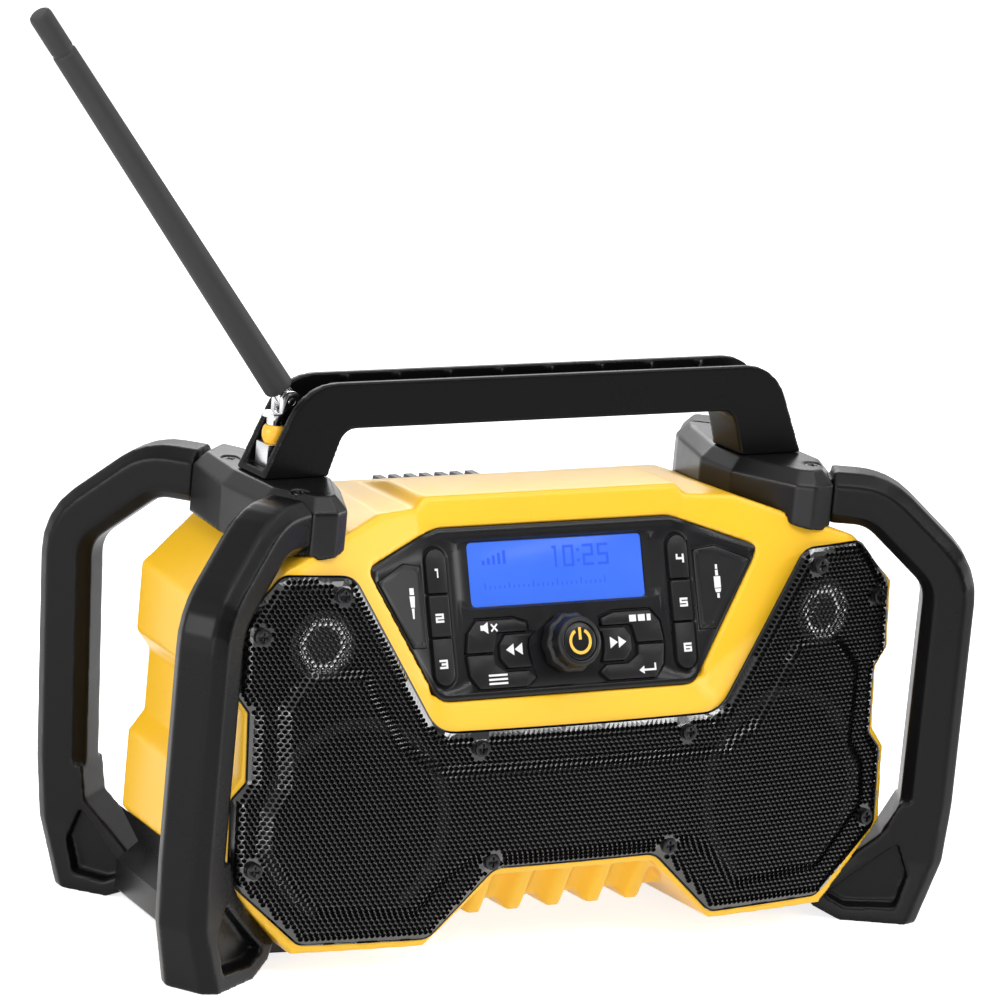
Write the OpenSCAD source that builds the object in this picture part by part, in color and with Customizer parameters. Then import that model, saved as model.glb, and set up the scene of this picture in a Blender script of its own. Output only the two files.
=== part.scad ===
// Jobsite radio: a housing in a roll cage of four bar guards, with a carry handle, a control
// panel, two speakers behind one grille, a folding aerial and a battery pack on the back.
// Millimetres. +X right, -Y front, +Z up. Origin on the ground, midway between the guards.

/* [Housing] */
// Width across the sides at the front
body_w = 304; // [296:1:320]
// Height of the underside above the ground
body_bottom = 9.5; // [8:0.5:12]
// Height of the raised middle of the top
body_top = 176; // [174:0.5:180]
// How far the top's side decks lie below its raised middle
deck_drop = 4; // [2:0.5:6]
// Half width of the raised middle
crown_half = 58; // [50:1:64]
// Distance from the centre plane to the grille seat, at the middle
front_y = 59; // [57:0.5:62]
// Distance from the centre plane to the back
rear_y = 47; // [45:0.5:50]
// Radius of the bowed front, seen from above
bow_r = 1030; // [900:10:1300]
// Angle by which the front leans back
front_lean = 4.6; // [3:0.1:6]
// Angle by which each side closes in towards the back
side_taper = 6.7; // [4:0.1:8]
// Wall thickness of the moulded shells
shell = 3; // [2.5:0.1:3.5]
// Width of the finger notch in each side, top to bottom
notch_h = 40; // [34:1:44]
// Depth of that notch
notch_d = 6; // [4:0.5:7]
// Where the front and rear shells meet
split_y = 5; // [2:1:9]

/* [Control panel] */
// Angle by which the panel leans back
panel_lean = 19.4; // [17:0.1:21]
// Half width of the panel's bottom edge
panel_foot = 59; // [57:0.5:61]
// Half width at the side corners
panel_side = 90; // [88:0.5:92]
// Height of the side corners along the panel
panel_side_v = 52.3; // [51:0.1:54]
// Half width of the top edge
panel_head = 54; // [50:0.5:56]
// Height of the panel along its face
panel_v = 66.7; // [66:0.1:68]
// Thickness of the bezel
bezel_t = 3.5; // [3:0.1:4]
// Angle by which the two wings of the bezel come forward
wing_angle = 14; // [12:0.5:15]
// Half width of the display window
lcd_half = 40.2; // [38:0.1:41]
// Height of the display window
lcd_h = 25; // [23:0.5:26]
// Width of a memory key
key_w = 9.2; // [8.6:0.1:9.4]
// Travel of a key
key_travel = 1; // [0.6:0.1:1.2]
// Diameter of the knob's skirt
knob_d = 24; // [22:0.5:25]
// Height of the knob
knob_h = 10.5; // [9:0.5:12]

/* [Speakers and grille] */
// Outer radius of a woofer's frame
woofer_r = 44; // [40:0.5:46]
// Distance of a woofer from the middle
woofer_x = 98; // [97:0.5:99]
// Height of a woofer's centre
woofer_z = 60; // [58:0.5:62]
// Outer radius of a tweeter
tweeter_r = 14; // [12:0.5:15]
// Depth of the grille tray
grille_d = 3; // [2.5:0.1:3.5]
// Thickness of the grille sheet
grille_t = 1.2; // [1:0.1:1.4]
// Height of the embossed field on the grille
emboss_d = 1.8; // [1.2:0.1:2.2]

/* [Guards] */
// Angle that each front guard turns out from the front
guard_angle = 30; // [28:1:32]
// Angle that each rear guard turns out from the back
rear_angle = 51; // [49:0.5:53]
// Width of a guard bar, seen square on
bar_w = 21; // [19:0.5:22]
// Thickness of a guard bar
bar_t = 22.4; // [21:0.2:24]
// Chamfer on the bar's edges
bar_c = 4.6; // [3.5:0.1:5.5]
// How far a front guard's upright stands out from its seam
guard_reach = 61.5; // [59:0.5:64]
// How far a rear guard's upright stands out from its seam
rear_reach = 59.2; // [57:0.1:61]
// Lean of a rear guard's upright, outwards per height
rear_lean = 0.06; // [0.03:0.01:0.08]
// Thickness of the foot where it meets the ground
foot_t = 28; // [26:0.5:30]

/* [Handle] */
// Height of the handle's top
handle_top = 219.5; // [217:0.5:224]
// Depth of the handle, front to back
handle_d = 21; // [20:0.5:23]
// Width of the aerial channel in it
channel_w = 14; // [13.4:0.1:15]
// Height of the block that the handle stands on
block_top = 183; // [181:0.5:185]

/* [Aerial] */
// Length of the rubber aerial
whip_l = 185; // [150:1:190]
// Diameter at its root
whip_d = 11.6; // [10:0.1:12]
// Diameter at its tip
whip_tip_d = 8.8; // [8:0.1:9.6]
// Lean of the aerial from upright, as drawn
whip_tilt = 38.6; // [0:0.1:60]

/* [Battery] */
// Width of the pack
pack_w = 76; // [72:0.5:80]
// Height of the pack
pack_h = 110; // [100:1:112]
// Depth of the pack's case
pack_d = 34.5; // [30:0.5:38]

/* [Hidden] */
$fn = 48;
fit = 0.3;            // gap between pieces that move past each other
pin_fit = 0.05;       // gap round a pin or shaft
screw_fit = 0.1;      // gap round a screw's thread in its boss
eps = 0.01;
far = 400;

hw = body_w / 2;
deck_z = body_top - deck_drop;
shoulder_x = hw - 22;             // outer end of the shoulder slope
shoulder_z = body_top - 18.5;
corner_z = body_top - 38.5;       // where the side starts to stand upright
notch_top = 110.5;
notch_low = notch_top - notch_h;
notch_run = 7.5;
bevel_z = body_bottom + 30;       // top of the lower side bevel
bevel_x = 30.5;
taper_y = -47;                    // plane where the side has its full width
bow_z = 80;                       // height where the front is front_y away

panel_y = -47;                    // the panel's bottom edge
panel_z = 101.7;
wing_x = 61;                      // fold line between the panel and each wing
wing_k = tan(wing_angle);
lip_x = 6;                        // yellow frame round the panel: run at the bottom corner
lip_v = 11.9;
lip_w = 4.5;

lcd_v = 47.9;                     // centre of the display
key_x = 55.7;                     // centre of a column of memory keys
key_gap = 0.6;
key_rows = [50.15, 32.9, 15.2];
key_lens = [17.2, 16.1, 18.2];
key_top = 0.6;                    // keys stand this far out of the bezel
key_low = -7.2;
knob_v = 19.3;
knob_gap = 0.6;
shaft_r = 3;
shaft_low = -16;
button_r = 7.4;
board_w = -12;                    // rear face of the control board
board_t = 1.6;
mode_x = 46;                      // outer edge of the four function keys
cover_t = 2.2;
cover_pts = [[2, 52.5], [11, 53.5], [25.5, 47], [9, 21], [2, 21]];

trim = 2;                         // yellow edge left showing round the grille
seat_z = 92;                      // lower edge of the grille's cut-out
rim_z = 155;
notch_w = 36.5;                   // half width of the notch under the grille
arch_z = 37.3;
arch_run = 30;                    // run of the arch's slanted ends
ceiling_z = 20.4;                 // underside of the body behind the arch
crest_top = [-57.5, 34.5];        // front edge of the arch's ribs, upper and lower end
crest_low = [-49.5, 16.3];
rib_n = 5;
rib_pitch = 18.3;
rib_d = 5;                        // how far the ribs stand out of their wall
rib_tip = 2.7;                    // half width of a rib at its crest
rib_root = 6.2;                   // and at its root
rib_back = -15;                   // where the ribs end under the body
emboss_pts = [[0, 81], [66, 80.5], [83, 91], [98, 112], [101, 121.5], [120, 122.5], [131, 108],
    [129, 75], [136, 65], [137, 50], [115, 27], [74, 24], [61, 37], [50, 43.5], [0, 43.5]];
screw_pts = [[108.8, 147.6], [141, 132.8], [47.4, 86.5], [40.6, 42], [140.5, 43.5]];
screw_r = 1.5;
head_r = 3.2;
head_h = 2.4;
slot_l = 3.8;
slot_w = 1;
slot_d = 1.2;
boss_r = 4;
flange_d = 1.8;                   // depth of the woofer's seat
tweeter_x = 114.7;
tweeter_z = 128.3;

root_x = hw - 27.2;               // centre of the seam between a guard and its block
root_y = 31.8;
rear_root_x = hw - 34.7;
rear_root_y = 46.6;
slope_t = 18.8;                   // where the bar leaves the level and starts to drop
slope_h = 28.4;
lean_z = 90;                      // height where a leaning upright has its stated reach
flare_z = 26;                     // height where the foot starts to thicken
foot_in_z = 11;
strut_t = 33.5;                   // corner on the strut's upper edge
strut_z = 36;
seam_low = 160.5;
bar_z = block_top - 1 - bar_w / 2;
foot_in = 4.5;                    // inner end of the foot, from the seam
tenon = 13.6;
tenon_l = 14;
block_screw = 8;                  // distance of the block's screws from the seam
leg_tenon = 6.5;                  // depth of the leg's tenon in the block
leg_floor = 3;                    // floor of the channel above the block

block_in = hw - 62;               // inner edge of the block
leg_out = hw - 28;                // outer face of the handle's leg at its foot
leg_in = hw - 56.5;
grip_h = 18;
grip_x = hw - 40;                 // where the leg ends and the top bend begins
web_t = 3.5;
lug_n = 8;
lug_pitch = 23.3;

pivot_x = -(hw - 41.5);
pivot_z = handle_top - 8;
sleeve_gap = 5.9;                 // from the pivot to the root of the rubber
ear_r = 4;
ear_t = 2.4;
blade_t = 3.6;
pin_r = 1.5;
post_w = 9;
post_x = pivot_x - 4.5;
collar_r = 4.4;
collar_neck = 3.2;
collar_pin = 2;
collar_low = pivot_z - 16.5;
post_low = min(block_top + leg_floor, collar_low - 6);

bay_y = 30;                       // floor of the battery bay
bay_half = 45;
bay_low = 38;
dock_t = 3;
rail_x = 36;                      // inner face of a dock rail
rail_t = 3;
lip_in = 3;
flange_t = 4;
pack_y = 41.5;
pack_low = 46;
dock_h = pack_h + 2;
main_w = 132;                     // main board, and the studs that carry it
main_h = 80;
main_z = 66;
stud_r = 3;
stud_h = 5;
latch_w = 50;
latch_d = 14;
latch_travel = 2.5;
latch_top = pack_low + pack_h + 4;
blade_n = 4;

shell_screws = [[75, 160], [127, 91], [92, 16]];
sink_d = 8;                       // depth of the wells that the shell screws sit in
rail_screw_x = hw - 38;
rail_screw_y = 22;
rail_screw_up = 12;               // how far those screws reach into the body
rail_in = hw - 44;                // inner edge of a side rail
rail_low = 3;
rail_out = 1.5;                   // how far its outer face lies inside the body's side
rail_top = 16;
block_low = shoulder_z + 1;       // underside of a corner block
block_edge = 5.5;                 // chamfer on its upper edge
block_sink = 3;                   // depth of its screws' seats
cap_screw = [hw - 34.3, 25.5];    // screw from the block into the rear housing
cap_screw_l = 33;

// ---- frames of reference ----

module both_sides() {
    children();
    mirror([1, 0, 0]) children();
}

module left_side() {
    mirror([1, 0, 0]) children();
}

// Distance of the bowed, leaning front face from the centre plane
function face_y(x, z) = -front_y + (bow_r - sqrt(bow_r * bow_r - x * x)) / cos(front_lean)
    + (z - bow_z) * tan(front_lean);

// Local frame on the front face: z points out of it, y runs up it
module on_face(x, z) {
    translate([x, face_y(x, z), z])
        rotate([0, 0, asin(x / bow_r)])
            rotate([90 - front_lean, 0, 0])
                children();
}

// Local frame on the control panel: x across, y up its face, z out of it
module on_panel() {
    translate([0, panel_y, panel_z])
        rotate([90 - panel_lean, 0, 0])
            children();
}

// Local frame on the right wing of the panel, from its fold line
module on_wing() {
    on_panel()
        translate([wing_x, 0, 0])
            rotate([0, -wing_angle, 0])
                children();
}

// A guard's own numbers: seam x, seam y, turn, reach, lean, and whether its inner face flares too
front_set = [root_x, root_y, guard_angle, guard_reach, 0, 0];
rear_set = [rear_root_x, rear_root_y, rear_angle, rear_reach, rear_lean, 1];

// Local frame of a guard at the front right: x outward along it, z up, y to its back
module on_guard(set) {
    translate([set[0], -set[1], 0])
        rotate([0, 0, -set[2]])
            children();
}

// The front end of the radio, or with -1 its back end
module at_end(front) {
    scale([1, front, 1]) children();
}

// ---- housing ----

side_pts = [[-30, deck_z], [hw - 68, deck_z], [shoulder_x, shoulder_z], [hw, corner_z],
    [hw, notch_top], [hw - notch_d, notch_top - notch_run], [hw - notch_d, notch_low + notch_run],
    [hw, notch_low], [hw, bevel_z], [hw - bevel_x, body_bottom], [-30, body_bottom]];
crown_pts = [[-crown_half - deck_drop, deck_z - shell], [-crown_half - deck_drop, deck_z],
    [-crown_half, body_top], [crown_half, body_top], [crown_half + deck_drop, deck_z],
    [crown_half + deck_drop, deck_z - shell]];

// Room inside the shells, or the solid itself with inset 0
module body_prism(inset) {
    both_sides()
        translate([hw, taper_y, 0])
            rotate([0, 0, side_taper])
                rotate([90, 0, 0])
                    translate([-hw, 0, -150])
                        linear_extrude(200)
                            if (inset > 0)
                                offset(delta = -inset) polygon(side_pts);
                            else
                                polygon(side_pts);
    rotate([90, 0, 0])
        translate([0, 0, -150])
            linear_extrude(230)
                translate([0, -inset])
                    polygon(crown_pts);
}

// Everything behind the bowed front face, moved back by inset
module behind_front(inset, r = bow_r) {
    translate([0, -front_y + bow_r / cos(front_lean), bow_z])
        rotate([-front_lean, 0, 0])
            cylinder(r = r - inset, h = 2 * far, center = true, $fn = 720);
}

wing_at = function (x) (x - wing_x) * wing_k;
cockpit_pts = [[panel_foot, 0, 0], [wing_x, 3.4, 0], [panel_side, panel_side_v, wing_at(panel_side)],
    [hw - 12, panel_side_v, wing_at(hw - 12)], [wing_x, 120, 0], [hw, 120, wing_at(hw)],
    [panel_foot + 3 * lip_x, -3 * lip_v, 3 * lip_w], [panel_side + 43, panel_side_v - 5, 36],
    [hw + 30, panel_side_v - 5, 36], [hw + 30, 120, 36]];

// The dished recess that the panel lies in, open to the front and the top
module cockpit(back = 0) {
    on_panel()
        translate([0, 0, -back])
            hull()
                both_sides()
                    for (p = cockpit_pts)
                        translate(p)
                            cube(eps, center = true);
}

// Slab that follows the panel's three facets between two depths
module facets(low, high) {
    on_panel()
        translate([-wing_x, -20, low])
            cube([2 * wing_x, 120, high - low]);
    both_sides()
        on_wing()
            translate([-1, -20, low])
                cube([60, 120, high - low]);
}

module panel_outline(grow) {
    offset(delta = grow)
        polygon([[-panel_foot, 0], [panel_foot, 0], [panel_side, panel_side_v], [panel_head, panel_v],
            [-panel_head, panel_v], [-panel_side, panel_side_v]]);
}

module panel_prism(grow) {
    on_panel()
        translate([0, 0, -30])
            linear_extrude(60)
                panel_outline(grow);
}

// Half of the arch under the grille, seen from the front
module arch_outline(grow) {
    offset(delta = grow)
        polygon([[-notch_w - arch_run, -arch_run], [-notch_w - arch_run, body_bottom - 0.5],
            [-notch_w, arch_z - trim], [notch_w, arch_z - trim],
            [notch_w + arch_run, body_bottom - 0.5], [notch_w + arch_run, -arch_run]]);
}

// Points of the wall behind the arch, seen from the side; set back by the depth of its ribs
crest_run = crest_low - crest_top;
crest_l = norm(crest_run);
rib_back_step = [-crest_run[1], crest_run[0]] * rib_d / crest_l;
wall_top = crest_top + rib_back_step;
wall_low = wall_top + crest_run * (wall_top[1] - ceiling_z) / -crest_run[1];

// Slab across the body whose section is drawn from the side, as [y, z] points
module side_section(width) {
    rotate([90, 0, 90])
        translate([0, 0, -width / 2])
            linear_extrude(width)
                children();
}

// Clearance under the middle of the body: a pocket up to a ribbed wall, and a tunnel to the back
module under_arch(grow = 0) {
    difference() {
        intersection() {
            rotate([90, 0, 0])
                translate([0, 0, -far])
                    linear_extrude(2 * far)
                        arch_outline(grow);
            side_section(far)
                offset(delta = grow)
                    polygon([[-far, -far], [far, -far], [far, ceiling_z], wall_low, wall_top,
                        [wall_top[0], far], [-far, far]]);
        }
        if (grow == 0)
            for (i = [0:rib_n - 1])
                translate([(i - (rib_n - 1) / 2) * rib_pitch, 0, 0]) arch_rib();
    }
}

// A rib that comes down the wall and runs on under the body
module arch_rib() {
    intersection() {
        rotate([90, 0, 0])
            translate([0, 0, -far])
                linear_extrude(2 * far)
                    polygon([[-rib_tip, crest_low[1]], [rib_tip, crest_low[1]], [rib_root, ceiling_z],
                        [rib_root, far], [-rib_root, far], [-rib_root, ceiling_z]]);
        union() {
            // down the wall, with slanted flanks
            translate([0, crest_top[0], crest_top[1]])
                rotate([atan2(crest_run[0], -crest_run[1]), 0, 0])
                    translate([0, 0, -2 * crest_l])
                        linear_extrude(3 * crest_l)
                            polygon([[-rib_tip, 0], [rib_tip, 0], [rib_root, rib_d],
                                [rib_root, 4 * rib_d], [-rib_root, 4 * rib_d], [-rib_root, rib_d]]);
            translate([-rib_root, wall_low[0], 0])
                cube([2 * rib_root, rib_back - wall_low[0], ceiling_z + 1]);
        }
    }
}

// The housing without its arch
module body_envelope() {
    difference() {
        intersection() {
            body_prism(0);
            behind_front(0);
            translate([-far, -far, 0]) cube([2 * far, far + rear_y, far]);
            // the top falls away to the back
            translate([0, 8, body_top])
                rotate([-15, 0, 0])
                    translate([-far, -far, -far])
                        cube([2 * far, 2 * far, far]);
        }
        cockpit();
    }
}

module body_solid() {
    difference() {
        body_envelope();
        under_arch();
    }
}

// The arch is roofed by a wall of its own, and the bay by the housing's back
module body_room() {
    difference() {
        intersection() {
            body_prism(shell);
            behind_front(shell + 1);
            translate([-far, -far, 0]) cube([2 * far, far + rear_y - shell, far]);
            translate([0, 8, body_top - shell])
                rotate([-15, 0, 0])
                    translate([-far, -far, -far])
                        cube([2 * far, 2 * far, far]);
        }
        cockpit(bezel_t + shell);
        under_arch(shell);
        translate([-bay_half - shell, bay_y - shell, bay_low - shell])
            cube([2 * (bay_half + shell), far, far]);
    }
}

module battery_bay() {
    translate([-bay_half, bay_y, bay_low])
        cube([2 * bay_half, far, far]);
}

module half(front) {
    translate([-far, front ? -far : split_y, -far])
        cube([2 * far, front ? far + split_y : far, 2 * far]);
}

// Long bosses from the front wall to the split, and from the split to the back wall
module shell_boss(front) {
    for (p = shell_screws)
        both_sides()
            translate([p[0], front ? split_y : rear_y - eps, p[1]])
                rotate([90, 0, 0])
                    cylinder(r = boss_r, h = front ? front_y : rear_y - split_y - eps);
}

module front_housing() {
    color("gold")
        difference() {
            union() {
                intersection() {
                    difference() {
                        body_solid();
                        body_room();
                    }
                    half(true);
                }
                intersection() {
                    body_solid();
                    union() {
                        shell_boss(true);
                        both_sides()
                            for (p = screw_pts)
                                on_face(p[0], p[1])
                                    translate([0, 0, -11])
                                        cylinder(r = boss_r, h = 8);
                    }
                }
            }
            // bezel seat and the openings behind it
            intersection() {
                panel_prism(fit / 2);
                facets(-bezel_t - 0.02, 20);
            }
            on_panel()
                translate([-wing_x - 2, 2, -30])
                    cube([2 * wing_x + 4, 60.5, 40]);
            both_sides() {
                on_wing()
                    translate([5, 33, -30])
                        cube([12, 17, 30]);
                on_face(woofer_x, woofer_z) {
                    translate([0, 0, -20]) cylinder(r = woofer_r - 4, h = 40);
                    translate([0, 0, -flange_d]) cylinder(r = woofer_r + fit, h = 10);
                }
                on_face(tweeter_x, tweeter_z)
                    translate([0, 0, -20]) cylinder(r = tweeter_r - 2, h = 40);
                on_face(tweeter_x, tweeter_z)
                    translate([0, 0, -1.5]) cylinder(r = tweeter_r + fit, h = 10);
                for (p = screw_pts)
                    on_face(p[0], p[1])
                        translate([0, 0, -9.5])
                            cylinder(r = screw_r + screw_fit, h = 20);
                for (p = shell_screws)
                    translate([p[0], split_y + eps, p[1]])
                        rotate([90, 0, 0])
                            cylinder(r = screw_r + screw_fit, h = 18);
                translate([rail_screw_x, -rail_screw_y, 0])
                    cylinder(r = screw_r + screw_fit, h = body_bottom + rail_screw_up);
            }
        }
}

module rear_housing() {
    color("gold")
        difference() {
            union() {
                intersection() {
                    difference() {
                        body_solid();
                        body_room();
                    }
                    half(false);
                }
                intersection() {
                    body_solid();
                    union() {
                        shell_boss(false);
                        both_sides()
                            translate([cap_screw[0], cap_screw[1], block_top - cap_screw_l - 4])
                                cylinder(r = boss_r, h = cap_screw_l);
                    }
                }
                // studs for the main board, from the back wall beside the bay
                for (x = [-1, 1], z = [4, main_h - 6])
                    translate([x * (main_w / 2 - 6), rear_y - shell, main_z + z])
                        rotate([90, 0, 0])
                            cylinder(r = stud_r, h = stud_h + rear_y - bay_y);
            }
            battery_bay();
            both_sides() {
                for (p = shell_screws)
                    translate([p[0], rear_y + eps, p[1]])
                        rotate([90, 0, 0]) {
                            cylinder(r = head_r + fit, h = sink_d + eps);
                            cylinder(r = screw_r + fit, h = far);
                        }
                translate([rail_screw_x, rail_screw_y, 0])
                    cylinder(r = screw_r + screw_fit, h = body_bottom + rail_screw_up);
                translate([cap_screw[0], cap_screw[1], block_top - block_sink - cap_screw_l])
                    cylinder(r = screw_r + screw_fit, h = far);
            }
            translate([inlet_x, rear_y - 10, inlet_z])
                rotate([-90, 0, 0])
                    cylinder(r = inlet_r + pin_fit, h = 30);
            // seats for the dock's screws
            both_sides()
                for (z = [60, 130])
                    translate([dock_screw_x, bay_y - 10, z])
                        rotate([-90, 0, 0])
                            cylinder(r = screw_r + screw_fit, h = 30);
        }
}

inlet_x = 96;
inlet_z = 60;
inlet_r = 6;
dock_screw_x = 20;

module housing_screws() {
    color("dimgray")
        both_sides() {
            for (p = shell_screws)
                translate([p[0], rear_y - sink_d, p[1]])
                    rotate([-90, 0, 0])
                        screw(rear_y - sink_d - split_y + 15);
            for (y = [-rail_screw_y, rail_screw_y])
                translate([rail_screw_x, y, rail_low + head_h])
                    rotate([180, 0, 0])
                        screw(body_bottom + 8 - rail_low);
        }
}

// Screw with a cross slot; its head's flat underside is at z = 0 and its shank below
module screw(length) {
    difference() {
        cylinder(r = head_r, h = head_h);
        for (a = [0, 90])
            rotate([0, 0, a])
                translate([-slot_l / 2, -slot_w / 2, head_h - slot_d])
                    cube([slot_l, slot_w, slot_d + eps]);
    }
    translate([0, 0, -length]) cylinder(r = screw_r, h = length + eps);
}

// ---- grille ----

module grille_outline(inset) {
    both_sides()
        offset(delta = -inset)
            polygon([[-5, seat_z], [65, seat_z], [104.4, rim_z], [hw - 19, rim_z + 1],
                [hw - trim - 0.5, corner_z + 0.5], [hw - trim + 0.6, notch_top],
                [hw - notch_d - trim + 0.8, notch_top - notch_run],
                [hw - notch_d - trim + 0.5, notch_low + notch_run - 1], [hw - trim + 0.4, notch_low],
                [hw - trim + 0.2, bevel_z - 0.8], [hw - bevel_x - 1.6, body_bottom + 2.6],
                [notch_w + 28.2, body_bottom + 2], [notch_w, arch_z], [-5, arch_z]]);
}

// The field keeps clear of the screws
module emboss_outline(inset) {
    both_sides()
        offset(delta = -inset)
            difference() {
                polygon(concat([[-5, 81]], emboss_pts, [[-5, 43.5]]));
                for (p = screw_pts)
                    translate(p)
                        circle(r = head_r + 1.6, $fn = 24);
            }
}

// A dished sheet: outline raised by depth over a seat, with walls of the sheet's thickness
module front_slab(low, high) {
    difference() {
        behind_front(-high);
        behind_front(-low);
    }
}

module outline_prism() {
    rotate([90, 0, 0])
        linear_extrude(far / 2)
            children();
}

module speaker_grille() {
    color([0.12, 0.12, 0.13])
        difference() {
            union() {
                intersection() {
                    outline_prism() grille_outline(0);
                    front_slab(0, grille_d);
                }
                intersection() {
                    outline_prism() emboss_outline(0);
                    front_slab(grille_d - 0.5, grille_d + emboss_d);
                }
            }
            intersection() {
                outline_prism() grille_outline(grille_t);
                front_slab(-1, grille_d - grille_t);
            }
            intersection() {
                outline_prism() emboss_outline(grille_t);
                front_slab(0, grille_d + emboss_d - grille_t);
            }
            both_sides()
                for (p = screw_pts)
                    on_face(p[0], p[1])
                        cylinder(r = screw_r + fit, h = 20);
        }
}

module grille_screws() {
    color("dimgray")
        both_sides()
            for (p = screw_pts)
                on_face(p[0], p[1])
                    translate([0, 0, grille_d])
                        screw(grille_d + 8);
}

// ---- speakers ----

module woofer_frame() {
    color("darkslategray")
        on_face(woofer_x, woofer_z)
            difference() {
                union() {
                    translate([0, 0, -flange_d]) cylinder(r = woofer_r, h = flange_d - 0.4);
                    translate([0, 0, -22]) cylinder(r1 = 24, r2 = woofer_r - 4.5, h = 22 - flange_d);
                    translate([0, 0, -26]) cylinder(r = 24, h = 4.1);
                }
                translate([0, 0, -20]) cylinder(r1 = 22, r2 = woofer_r - 7, h = 20 + eps);
                translate([0, 0, -30]) cylinder(r = 14, h = 30);
            }
}

module woofer_cone() {
    color("black")
        on_face(woofer_x, woofer_z)
            rotate_extrude()
                polygon([[0, -9], [7, -10], [12, -12.6], [woofer_r - 14, -3.5],
                    [woofer_r - 11, -0.6], [woofer_r - 8, 0.5], [woofer_r - 4, 0.5],
                    [woofer_r - 4, -0.4], [woofer_r - 7.6, -0.4], [woofer_r - 10.4, -1.8],
                    [woofer_r - 13.4, -4.9], [13.6, -13.8], [13.6, -24], [12.6, -24],
                    [12.6, -14.2], [7, -11.2], [0, -10.2]]);
}

module woofer_magnet() {
    color("gray")
        on_face(woofer_x, woofer_z)
            translate([0, 0, -40])
                difference() {
                    cylinder(r = 27, h = 14);
                    translate([0, 0, 4]) cylinder(r = 14, h = 20);
                }
}

module tweeter() {
    color("silver")
        on_face(tweeter_x, tweeter_z) {
            difference() {
                translate([0, 0, -1.5]) cylinder(r = tweeter_r, h = 1.5);
                translate([0, 0, -3]) cylinder(r = tweeter_r - 4, h = 6);
            }
            translate([0, 0, -12]) cylinder(r = tweeter_r - 2.3, h = 11);
            translate([0, 0, -2]) cylinder(r = 7, h = 2.5);
        }
}

// ---- control panel ----

module key_slot(w, h, r) {
    hull()
        for (x = [-1, 1], y = [-1, 1])
            translate([x * (w / 2 - r), y * (h / 2 - r)])
                circle(r = r);
}

// Outline of one memory key in its column; row 0 is at the top, with a round upper end
module memory_outline(row, grow) {
    r = key_w / 2;
    h = key_lens[row];
    translate([0, key_rows[row]])
        if (row == 1)
            square([key_w + 2 * grow, h + 2 * grow], center = true);
        else {
            s = row == 0 ? 1 : -1;
            translate([0, -s * r / 2])
                square([key_w + 2 * grow, h - r + 2 * grow], center = true);
            translate([0, s * (h / 2 - r)])
                circle(r = r + grow);
        }
}

module key_body(travel_low) {
    translate([0, 0, key_low])
        linear_extrude(key_top - key_low)
            children();
}

module memory_key(side, row) {
    color([0.1, 0.1, 0.11])
        on_panel()
            translate([side * key_x, 0, 0]) {
                key_body() memory_outline(row, 0);
                translate([0, 0, -bezel_t - 1.5])
                    linear_extrude(1.2)
                        intersection() {
                            memory_outline(row, 0.9);
                            translate([0, key_rows[row]])
                                square([20, key_lens[row]], center = true);
                        }
            }
}

// Half outlines of the four function keys, drawn for the right side
mode_pts = [[17, 28.2], [23, 30.2], [40, 30.2], [44.2, 25.5], [45.6, 17.6], [33, 17.6], [31, 25],
    [17, 25]];
enter_pts = [[45.6, 17], [44.6, 9], [40.5, 3.6], [19, 3.6], [14.5, 7.2], [18, 10], [28, 10],
    [32.8, 13], [33, 17]];
seek_pts = [[14.6, 24.2], [27.5, 24.2], [30.3, 20.6], [30.3, 15], [27, 11], [16, 11], [17.2, 15],
    [17.6, 19.3], [17, 22.5]];

module function_key(pts, side) {
    color([0.1, 0.1, 0.11])
        on_panel()
            scale([side, 1, 1]) {
                key_body() offset(delta = -0.1) polygon(pts);
                translate([0, 0, -bezel_t - 1.5]) linear_extrude(1.2) offset(delta = 0.05) polygon(pts);
            }
}

module control_bezel() {
    color([0.07, 0.07, 0.08])
        difference() {
            intersection() {
                panel_prism(-fit / 2);
                facets(-bezel_t, 0);
            }
            on_panel() {
                translate([-lcd_half, lcd_v - lcd_h / 2, -10]) cube([2 * lcd_half, lcd_h, 20]);
                for (side = [-1, 1]) {
                    translate([side * key_x, 0, -10])
                        linear_extrude(20)
                            for (row = [0:2])
                                memory_outline(row, fit);
                    translate([0, 0, -10])
                        linear_extrude(20)
                            scale([side, 1])
                                for (pts = [mode_pts, enter_pts, seek_pts])
                                    offset(delta = 0.2) polygon(pts);
                }
                translate([0, knob_v, -10]) cylinder(r = encoder_r + fit, h = 20);
            }
            both_sides()
                on_wing() {
                    translate([0, 0, -cover_t - 0.3])
                        linear_extrude(20)
                            offset(delta = fit) polygon(cover_pts);
                    translate([6, 34, -10])
                        cube([10, 15, 20]);
                }
        }
}

encoder_r = 4.6;

module lcd_lens() {
    color([0.25, 0.45, 1])
        on_panel()
            translate([-lcd_half + 0.1, lcd_v - lcd_h / 2 + 0.1, -bezel_t])
                cube([2 * lcd_half - 0.2, lcd_h - 0.2, 1.6]);
}

module lcd_module() {
    color("whitesmoke")
        on_panel()
            translate([-lcd_half - 2, lcd_v - lcd_h / 2 - 2, -board_t + board_w + 2 * board_t])
                cube([2 * lcd_half + 4, lcd_h + 4, -bezel_t - board_w - board_t]);
}

module control_board() {
    color("darkgreen")
        on_panel()
            difference() {
                union() {
                    translate([-wing_x + 0.4, 3.5, board_w]) cube([2 * wing_x - 0.8, 57.5, board_t]);
                    // switch under each key
                    for (side = [-1, 1]) {
                        for (row = [0:2])
                            translate([side * key_x, key_rows[row], board_w])
                                cylinder(r = 2.6, h = key_low - key_travel - fit - board_w);
                        for (p = [[39, 22], [40, 10], [24, 17.5]])
                            translate([side * p[0], p[1], board_w])
                                cylinder(r = 2.4, h = key_low - key_travel - fit - board_w);
                    }
                }
                translate([0, knob_v, -50]) cylinder(r = shaft_r + 0.5, h = 100);
            }
}

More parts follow.
